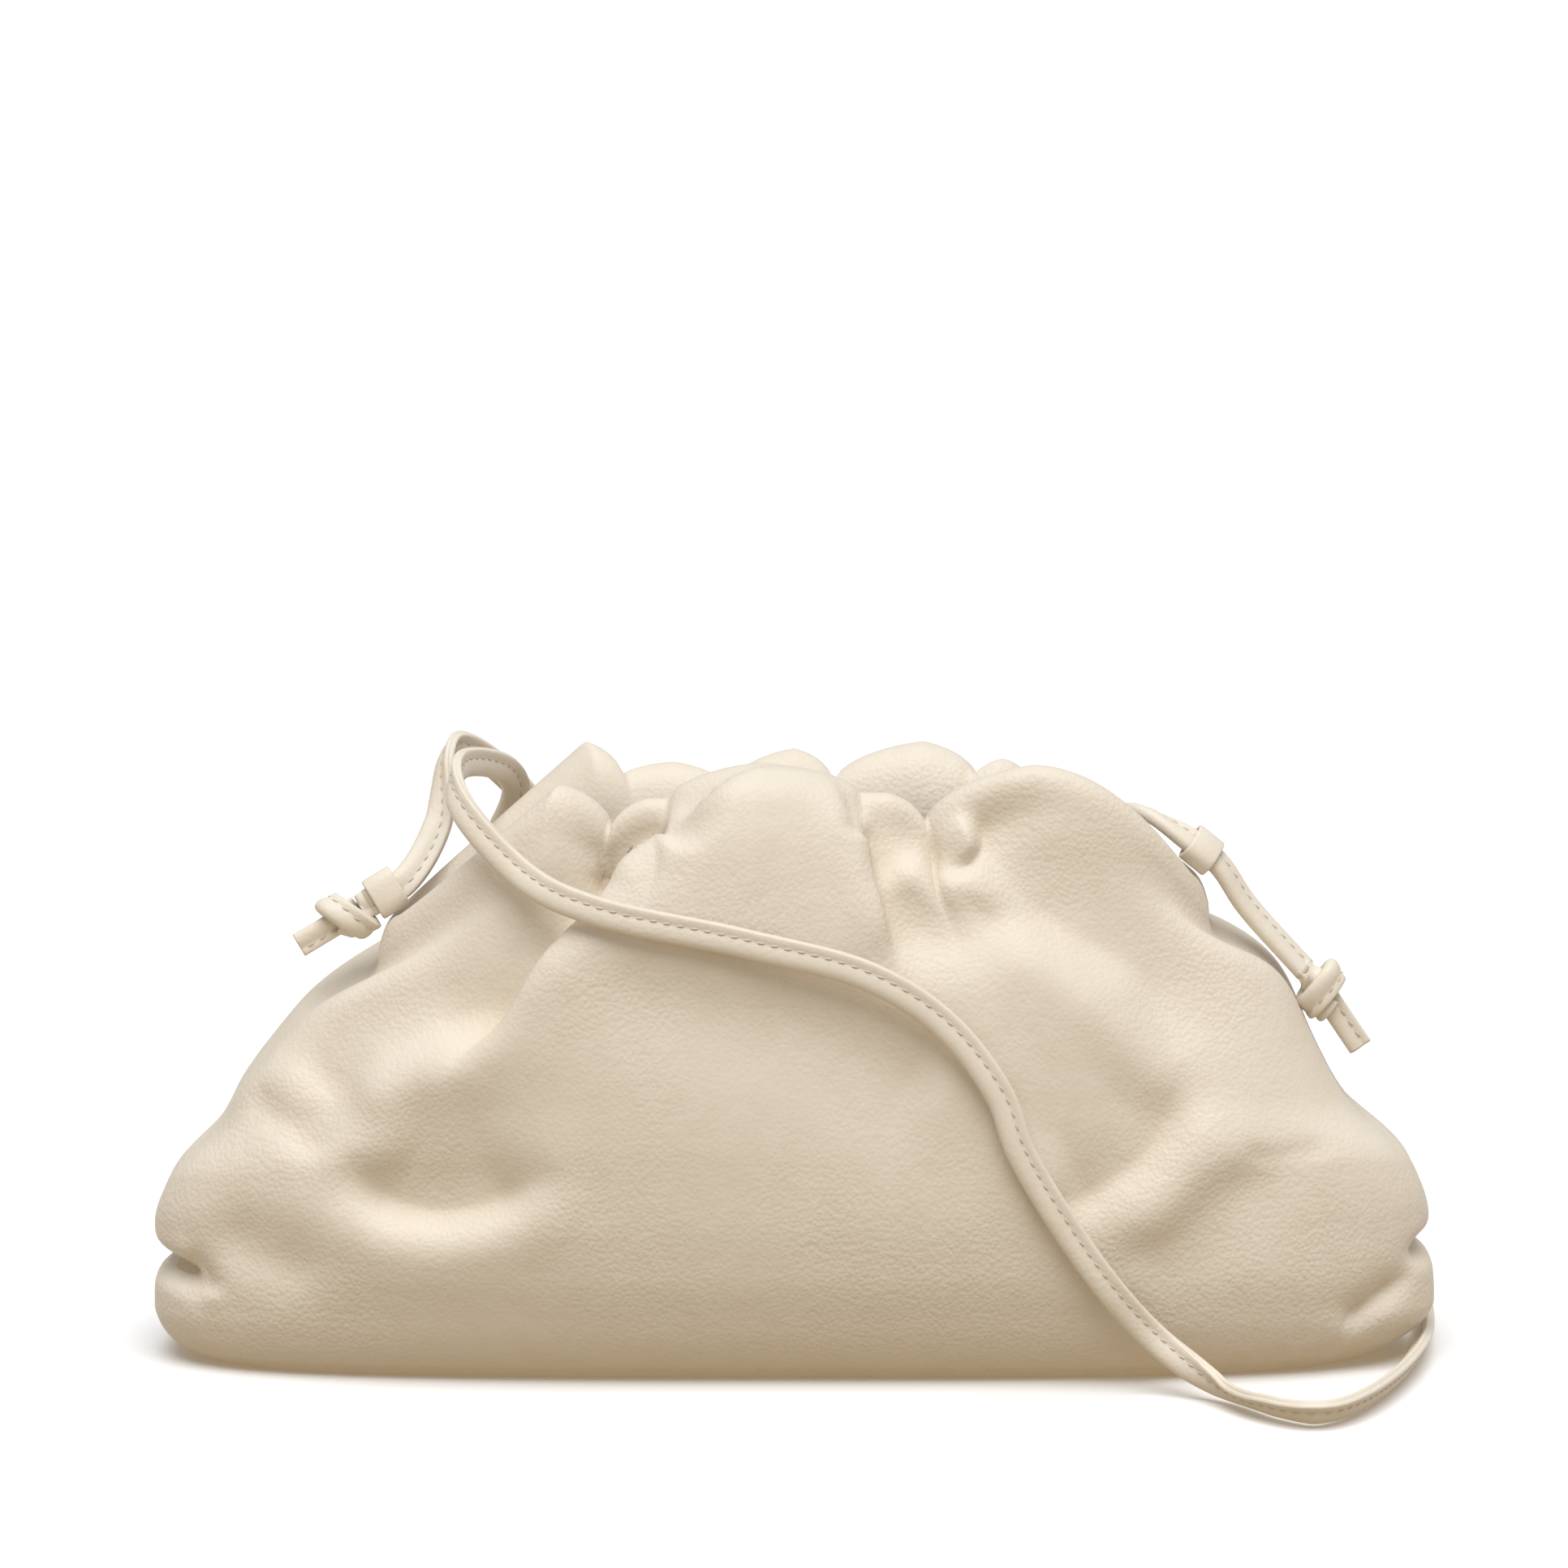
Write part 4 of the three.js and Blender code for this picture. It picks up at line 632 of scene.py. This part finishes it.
def strap_rows():
    """The strap's whole route, with the derived points at the knots and loops."""
    left_way, right_way = unit(LEFT_LOOP_WAY), unit(RIGHT_LOOP_WAY)
    left_loop, right_loop = np.array(LEFT_LOOP), np.array(RIGHT_LOOP)
    left_knot = left_loop - left_way * (LOOP_LENGTH / 2 + KNOT_PLAY + KNOT_LENGTH / 2)
    start = KNOT_LENGTH / 2 + CLEARANCE
    beyond = LOOP_LENGTH / 2 + LOOP_STRAIGHT
    first, last = STRAP_ROUTE[0][1], RIGHT_STRAND[1]
    back = unit(np.array(RIGHT_STRAND[0]) - np.array(RIGHT_KNOT))
    return [(left_knot + left_way * start, first), (left_loop + left_way * beyond, first), *STRAP_ROUTE,
            (right_loop - right_way * beyond, last), (right_loop + right_way * beyond, last), RIGHT_STRAND,
            (np.array(RIGHT_KNOT) + back * start, last)]


def even_line(rows, step):
    """A smooth line through rows of a point and a face, in even steps: points, ways, faces, acrosses."""
    line = smooth_line([row[0] for row in rows], ROUTE_STEPS)
    at = np.arange(len(rows))
    faces = np.array([row[1] for row in rows], float)
    turns = np.linspace(0, len(rows) - 1, len(line))
    face = np.stack([smooth_values(at, faces[:, k], turns) for k in range(3)], 1)
    length = np.concatenate([[0], np.cumsum(np.linalg.norm(np.diff(line, axis=0), axis=1))])
    even = np.linspace(0, length[-1], max(int(round(length[-1] / step)), 2) + 1)
    points = np.stack([np.interp(even, length, line[:, k]) for k in range(3)], 1)
    face = np.stack([np.interp(even, length, face[:, k]) for k in range(3)], 1)
    ways = np.gradient(points, axis=0)
    ways /= np.linalg.norm(ways, axis=1, keepdims=True)
    face -= (face * ways).sum(1)[:, None] * ways
    face /= np.linalg.norm(face, axis=1, keepdims=True)
    return points, ways, face, np.cross(face, ways)


def smooth_values(at, values, where):
    """A uniform smooth curve through values, with the slopes of its neighbours."""
    slopes = np.gradient(values)
    k = np.clip(where.astype(int), 0, len(at) - 2)
    s = where - k
    return ((2 * s ** 3 - 3 * s ** 2 + 1) * values[k] + (s ** 3 - 2 * s ** 2 + s) * slopes[k]
            + (3 * s ** 2 - 2 * s ** 3) * values[k + 1] + (s ** 3 - s ** 2) * slopes[k + 1])


def strap_rings(points, faces, acrosses, width=1.0, thickness=1.0):
    """Rings of the strap's section along a line."""
    half = np.array(STRAP_SECTION)
    loop = np.concatenate([half, half[-2:0:-1] * (1, -1)])
    u = loop[:, 0][None, :, None] * np.reshape(width, (-1, 1, 1))
    v = loop[:, 1][None, :, None] * np.reshape(thickness, (-1, 1, 1))
    return points[:, None] + u * acrosses[:, None] + v * faces[:, None]


def stitches(points, ways, faces, acrosses, step):
    """Small threads along both faces of a stretch of strap."""
    vertices, quads = [], []
    sides, rings = STITCH_SIDES, STITCH_RINGS
    count = int((len(points) - 1) * step / STITCH_PITCH)
    for k in range(count):
        at = (k + 0.5) * STITCH_PITCH / step
        i = min(int(at), len(points) - 2)
        share = at - i
        p, w = lerp(points[i], points[i + 1], share), lerp(ways[i], ways[i + 1], share)
        f, a = lerp(faces[i], faces[i + 1], share), lerp(acrosses[i], acrosses[i + 1], share)
        for way in (1, -1):
            centre = p + a * STITCH_LINE + f * way * STITCH_BASE
            first = len(vertices)
            for ring in range(rings + 1):
                s = ring / rings * 2 - 1
                radius = STITCH_RADIUS * math.sqrt(max(1 - abs(s) ** 4, 0.02))
                lift = STITCH_ARCH * (1 - s * s) - STITCH_SINK
                middle = centre + w * s * STITCH_LENGTH / 2 + a * s * STITCH_SLANT + f * way * lift
                for side in range(sides):
                    turn = 2 * math.pi * side / sides
                    vertices.append(middle + a * math.cos(turn) * radius + f * math.sin(turn) * radius)
            for ring in range(rings):
                for side in range(sides):
                    b, c = first + ring * sides, (side + 1) % sides
                    quads.append((b + side, b + c, b + sides + c, b + sides + side))
    return vertices, quads


def joined(parts):
    """One list of vertices and one of faces from several."""
    vertices, quads = [], []
    for more, faces in parts:
        first = len(vertices)
        vertices.extend(np.asarray(more).tolist())
        quads.extend(tuple(first + k for k in face) for face in faces)
    return vertices, quads


def band(rows, width=1.0, thickness=1.0, threaded=True):
    """A short stretch of strap through rows of a point and a face: its mesh and its stitches."""
    points, ways, faces, acrosses = even_line(rows, WRAP_STEP)
    length = np.linalg.norm(np.diff(points, axis=0), axis=1).sum()
    mesh = rings_mesh(strap_rings(points, faces, acrosses, width, thickness))
    threads = stitches(points, ways, faces, acrosses, length / (len(points) - 1)) if threaded else ([], [])
    return mesh, threads


def knot(centre, lead, lead_face, way, lean, tail):
    """An overhand knot: the strap's wraps round itself, its way in and its free end."""
    way = unit(way)
    front = unit(np.array((0, -1, 0)) + way[1] * way)
    low = np.cross(front, way)
    low = low * -math.copysign(1, low[2])
    wraps = []
    for k in range(WRAP_ROWS + 1):
        share = k / WRAP_ROWS
        turn = share * 2 * math.pi * WRAP_TURNS
        size = min(WRAP_START + share, 1) - WRAP_TUCK * max(share - WRAP_TUCKED, 0)
        out = front * math.cos(turn) * WRAP_DEEP + low * math.sin(turn) * WRAP_ACROSS
        along = WRAP_SHIFT * (1 - WRAP_CROSS * share) + WRAP_LEAN * lean * math.sin(turn)
        wraps.append((centre + out * size + way * along, unit(out)))
    end = KNOT_LENGTH / 2 + tail
    tails = [(centre + way * end * share, front) for share in (0, 0.3, 0.6, 1)]
    into = [(centre + (lead - centre) * share, front if share < 0.5 else lead_face)
            for share in (0, 0.4, 0.8, 1.25)]
    parts = [band(wraps, WRAP_WIDE), band(tails, TAIL_WIDE, TAIL_THICK),
             band(into, LEAD_WIDE, LEAD_THICK, threaded=False)]
    return joined([part[0] for part in parts]), joined([part[1] for part in parts])


def strap_loop(centre, way, face):
    """A short leather tube round the strap, with round lips at its ends."""
    way = unit(way)
    face = unit(np.array(face) - np.dot(face, way) * way)
    across = np.cross(face, way)
    turns = np.linspace(0, 2 * math.pi, LOOP_ROUND, endpoint=False)
    wide = np.sign(np.cos(turns)) * np.abs(np.cos(turns)) ** LOOP_SQUARE
    high = np.sign(np.sin(turns)) * np.abs(np.sin(turns)) ** LOOP_SQUARE
    straight = LOOP_LENGTH / 2 - LOOP_WALL / 2
    lip = np.linspace(-math.pi / 2, math.pi / 2, LIP_STEPS)
    along = np.concatenate([straight + np.cos(lip) * LOOP_WALL / 2, -straight - np.cos(lip) * LOOP_WALL / 2])
    out = np.concatenate([np.sin(lip), -np.sin(lip)]) * LOOP_WALL / 2
    half_wide = STRAP_WIDTH / 2 + LOOP_PLAY + LOOP_WALL / 2
    half_high = STRAP_THICKNESS / 2 + LOOP_PLAY + LOOP_WALL / 2
    rings = (np.array(centre) + across * (wide[:, None] * (half_wide + out))[..., None]
             + face * (high[:, None] * (half_high + out))[..., None] + way * along[None, :, None])
    count, sides = rings.shape[:2]
    quads = [(i * sides + k, i * sides + (k + 1) % sides, (i + 1) % count * sides + (k + 1) % sides,
              (i + 1) % count * sides + k) for i in range(count) for k in range(sides)]
    return rings.reshape(-1, 3), quads


def new_object(name, vertices, faces, materials, smooth=True):
    """A mesh object from vertices and faces, with outward normals."""
    mesh = bpy.data.meshes.new(name)
    mesh.from_pydata([tuple(v) for v in np.asarray(vertices).tolist()], [], faces)
    mesh.validate()
    for material in materials:
        mesh.materials.append(material)
    if smooth:
        mesh.shade_smooth()
    thing = bpy.data.objects.new(name, mesh)
    bpy.context.scene.collection.objects.link(thing)
    return thing


def principled(name, colour, roughness):
    """A material with its shader and node tree."""
    material = bpy.data.materials.new(name)
    material.use_nodes = True
    shader = material.node_tree.nodes["Principled BSDF"]
    shader.inputs["Base Color"].default_value = (*colour, 1)
    shader.inputs["Roughness"].default_value = roughness
    return material, shader


def link(tree, a, out, b, into):
    tree.links.new(a.outputs[out], b.inputs[into])


def new_node(tree, kind, inputs=(), **settings):
    """A node with its settings and the values of its inputs."""
    node = tree.nodes.new(kind)
    for key, value in settings.items():
        setattr(node, key, value)
    for key, value in inputs:
        node.inputs[key].default_value = value
    return node


def leather(name, colour, mottle_and_shade_colour, roughness, grain, shade_creases=False):
    """Smooth calf leather: a fine pebble grain and a faint mottling, and painted shade that deepens its colour
    in its hollows.
    """
    material, shader = principled(name, colour, roughness)
    tree = material.node_tree
    place = new_node(tree, "ShaderNodeTexCoord")
    cells = new_node(tree, "ShaderNodeTexVoronoi", [("Scale", 1250)], feature="SMOOTH_F1")
    cells.inputs["Smoothness"].default_value = 0.35
    bend = new_node(tree, "ShaderNodeTexNoise", [("Scale", 420), ("Detail", 2)])
    pores = new_node(tree, "ShaderNodeTexNoise", [("Scale", 3600), ("Detail", 2)])
    lumps = new_node(tree, "ShaderNodeTexNoise", [("Scale", 230), ("Detail", 3)])
    broad = new_node(tree, "ShaderNodeTexNoise", [("Scale", 26), ("Detail", 3)])
    moved = new_node(tree, "ShaderNodeVectorMath", operation="MULTIPLY_ADD")
    moved.inputs[1].default_value = (0.0007, 0.0007, 0.0007)
    for node in (bend, pores, lumps, broad):
        link(tree, place, "Object", node, "Vector")
    link(tree, bend, "Color", moved, 0)
    link(tree, place, "Object", moved, 2)
    link(tree, moved, "Vector", cells, "Vector")

    pebbles = new_node(tree, "ShaderNodeMath", operation="MULTIPLY")
    patchy = new_node(tree, "ShaderNodeMapRange", [("From Min", 0.36), ("From Max", 0.62), ("To Min", 0.35)])
    link(tree, broad, "Fac", patchy, "Value")
    link(tree, cells, "Distance", pebbles, 0)
    link(tree, patchy, "Result", pebbles, 1)
    fine = new_node(tree, "ShaderNodeBump", [("Distance", 0.0002), ("Strength", grain)], invert=True)
    link(tree, pebbles, "Value", fine, "Height")
    porous = new_node(tree, "ShaderNodeBump", [("Distance", 0.00003), ("Strength", grain)])
    link(tree, pores, "Fac", porous, "Height")
    link(tree, fine, "Normal", porous, "Normal")
    wavy = new_node(tree, "ShaderNodeBump", [("Distance", 0.00022), ("Strength", grain)])
    link(tree, lumps, "Fac", wavy, "Height")
    link(tree, porous, "Normal", wavy, "Normal")
    link(tree, wavy, "Normal", shader, "Normal")

    # The base colour goes towards the darker colour with random mottling and, on the body, with painted shade
    # in its creases
    mottle_and_shade_mix = new_node(tree, "ShaderNodeMix", data_type="RGBA")
    mottle_and_shade_mix.inputs["A"].default_value = (*colour, 1)
    mottle_and_shade_mix.inputs["B"].default_value = (*mottle_and_shade_colour, 1)
    spread = new_node(tree, "ShaderNodeMapRange", [("From Min", 0.35), ("From Max", 0.75), ("To Max", 0.35)])
    link(tree, lumps, "Fac", spread, "Value")
    share = new_node(tree, "ShaderNodeMath", operation="ADD", use_clamp=True)
    link(tree, spread, "Result", share, 0)
    share.inputs[1].default_value = 0
    # Painted shade: the colour is darkened in the shell's creases by the mask of how hollow the leather lies
    # there
    if shade_creases:
        crease_shade = new_node(tree, "ShaderNodeAttribute", attribute_name="crease_shade")
        link(tree, crease_shade, "Fac", share, 1)
    link(tree, share, "Value", mottle_and_shade_mix, "Factor")
    tree.links.new(mottle_and_shade_mix.outputs[2], shader.inputs["Base Color"])
    shader.inputs["Specular IOR Level"].default_value = 0.3
    return material


# The camera stands where the photograph was taken from
CAMERA_PLACE = (0, -1.07596, 0.2817)
CAMERA_DOWN = 9.59
CAMERA_LEFT = 0.095
camera = bpy.data.objects.new("camera", bpy.data.cameras.new("camera"))
camera.data.lens = 146.07
camera.data.sensor_width = 36
camera.data.sensor_fit = "HORIZONTAL"
camera.data.clip_end = 60
camera.location = CAMERA_PLACE
camera.rotation_euler = (math.radians(90 - CAMERA_DOWN), 0, math.radians(CAMERA_LEFT))
bpy.context.scene.collection.objects.link(camera)
bpy.context.scene.camera = camera

# The body leather's darker colour serves both its mottling and its painted shade in the creases
cream = leather("body_leather", (0.745, 0.67, 0.562), (0.685, 0.60, 0.48), 0.48, 0.62, shade_creases=True)
strap_cream = leather("strap_leather", (0.77, 0.70, 0.595), (0.70, 0.615, 0.49), 0.45, 0.3)
suede = leather("lining_leather", (0.60, 0.52, 0.41), (0.54, 0.45, 0.34), 0.85, 0.8)
thread, _ = principled("thread", (0.60, 0.54, 0.46), 0.7)
steel, steel_shader = principled("frame_steel", (0.55, 0.55, 0.54), 0.35)
steel_shader.inputs["Metallic"].default_value = 1

body = "root" if "root" in frame["bodies"] else list(frame["bodies"])[0]

# The strap
points, ways, faces, acrosses = even_line(strap_rows(), STRAP_STEP)
strap_lowest = strap_rings(points, faces, acrosses)[..., 2].min(axis=1)
points[:, 2] += np.maximum(-strap_lowest, 0)
strap_length = float(np.linalg.norm(np.diff(points, axis=0), axis=1).sum())
vertices, quads = rings_mesh(strap_rings(points, faces, acrosses))
strap = new_object("strap_leather_whole", vertices, quads, [strap_cream])
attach(strap, body)
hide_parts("strap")
step = strap_length / (len(points) - 1)
vertices, quads = stitches(points, ways, faces, acrosses, step)
threads = new_object("strap_stitches", vertices, quads, [thread])
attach(threads, body)

# The shell
rings = shell_rings()
vertices, quads = rings_mesh(rings)
shell = new_object("pouch_leather", vertices, quads, [cream, suede])
first_inside = OUTSIDE_ROWS * rings.shape[1]
inside = np.array([min(face) >= first_inside and max(face) < len(vertices) - 2 for face in quads])
shell.data.polygons.foreach_set("material_index", inside.astype(np.int32))
# The mask of painted shade in the shell's creases, read by the body leather
crease_shade = shell.data.attributes.new("crease_shade", "FLOAT", "POINT")
crease_shade.data.foreach_set("value", np.concatenate([crease_shade_mask(rings).ravel(), [0, 0]]).astype(np.float32))
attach(shell, body)
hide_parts("pouch_shell")

# The knots and the loops
left_way = unit(LEFT_LOOP_WAY)
left_centre = np.array(LEFT_LOOP) - left_way * (LOOP_LENGTH / 2 + KNOT_PLAY + KNOT_LENGTH / 2)
knots = []
for name, centre, end, way, lean, tail in (
        ("left_knot", left_centre, 0, LEFT_TAIL_WAY, -1, LEFT_TAIL),
        ("right_knot", np.array(RIGHT_KNOT), -1, RIGHT_TAIL_WAY, 1, RIGHT_TAIL)):
    mesh, sewn = knot(centre, points[end], faces[end], way, lean, tail)
    tied = new_object(name + "_leather", *mesh, [strap_cream])
    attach(tied, body)
    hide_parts(name)
    seam = new_object(name + "_stitches", *sewn, [thread])
    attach(seam, body)
    knots += [tied, seam]
for name, centre, way, face in (("left_strap_loop", LEFT_LOOP, LEFT_LOOP_WAY, STRAP_ROUTE[0][1]),
                                ("right_strap_loop", RIGHT_LOOP, RIGHT_LOOP_WAY, RIGHT_STRAND[1])):
    tube = new_object(name + "_leather", *strap_loop(centre, way, face), [strap_cream])
    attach(tube, body)
    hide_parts(name)

hidden_frame = bpy.data.objects["mouth_frame"]
hidden_frame.data.materials.clear()
hidden_frame.data.materials.append(steel)

# Floor and light
FLOOR_SIZE = 30
ABOVE_LIGHT = (0.44, 0.45, 0.46)
BELOW_LIGHT = (0.56, 0.44, 0.28)
KEY_LIGHT = 2.7
KEY_FROM = (0.02, -0.42, 1)
KEY_SOFTNESS = 50
floor_material, _ = principled("pale_floor", (0.93, 0.93, 0.93), 0.9)
half = FLOOR_SIZE / 2
floor = new_object("floor", [(-half, -half, 0), (half, -half, 0), (half, half, 0), (-half, half, 0)],
                   [(0, 1, 2, 3)], [floor_material], smooth=False)
floor.visible_diffuse = False

world = bpy.data.worlds.new("studio")
world.use_nodes = True
tree = world.node_tree
way = new_node(tree, "ShaderNodeTexCoord")
parts = new_node(tree, "ShaderNodeSeparateXYZ")
link(tree, way, "Generated", parts, "Vector")
height = new_node(tree, "ShaderNodeMapRange", [("From Min", -0.25), ("From Max", 0.25)])
link(tree, parts, "Z", height, "Value")
sky = new_node(tree, "ShaderNodeMix", data_type="RGBA")
sky.inputs["A"].default_value = (*BELOW_LIGHT, 1)
sky.inputs["B"].default_value = (*ABOVE_LIGHT, 1)
link(tree, height, "Result", sky, "Factor")
tree.links.new(sky.outputs[2], tree.nodes["Background"].inputs["Color"])
bpy.context.scene.world = world
bpy.context.scene.view_settings.view_transform = "Standard"

key = bpy.data.lights.new("key", "SUN")
key.energy = KEY_LIGHT
key.angle = math.radians(KEY_SOFTNESS)
key_light = bpy.data.objects.new("key", key)
key_light.rotation_euler = (-Vector(KEY_FROM)).to_track_quat("-Z", "Y").to_euler()
bpy.context.scene.collection.objects.link(key_light)
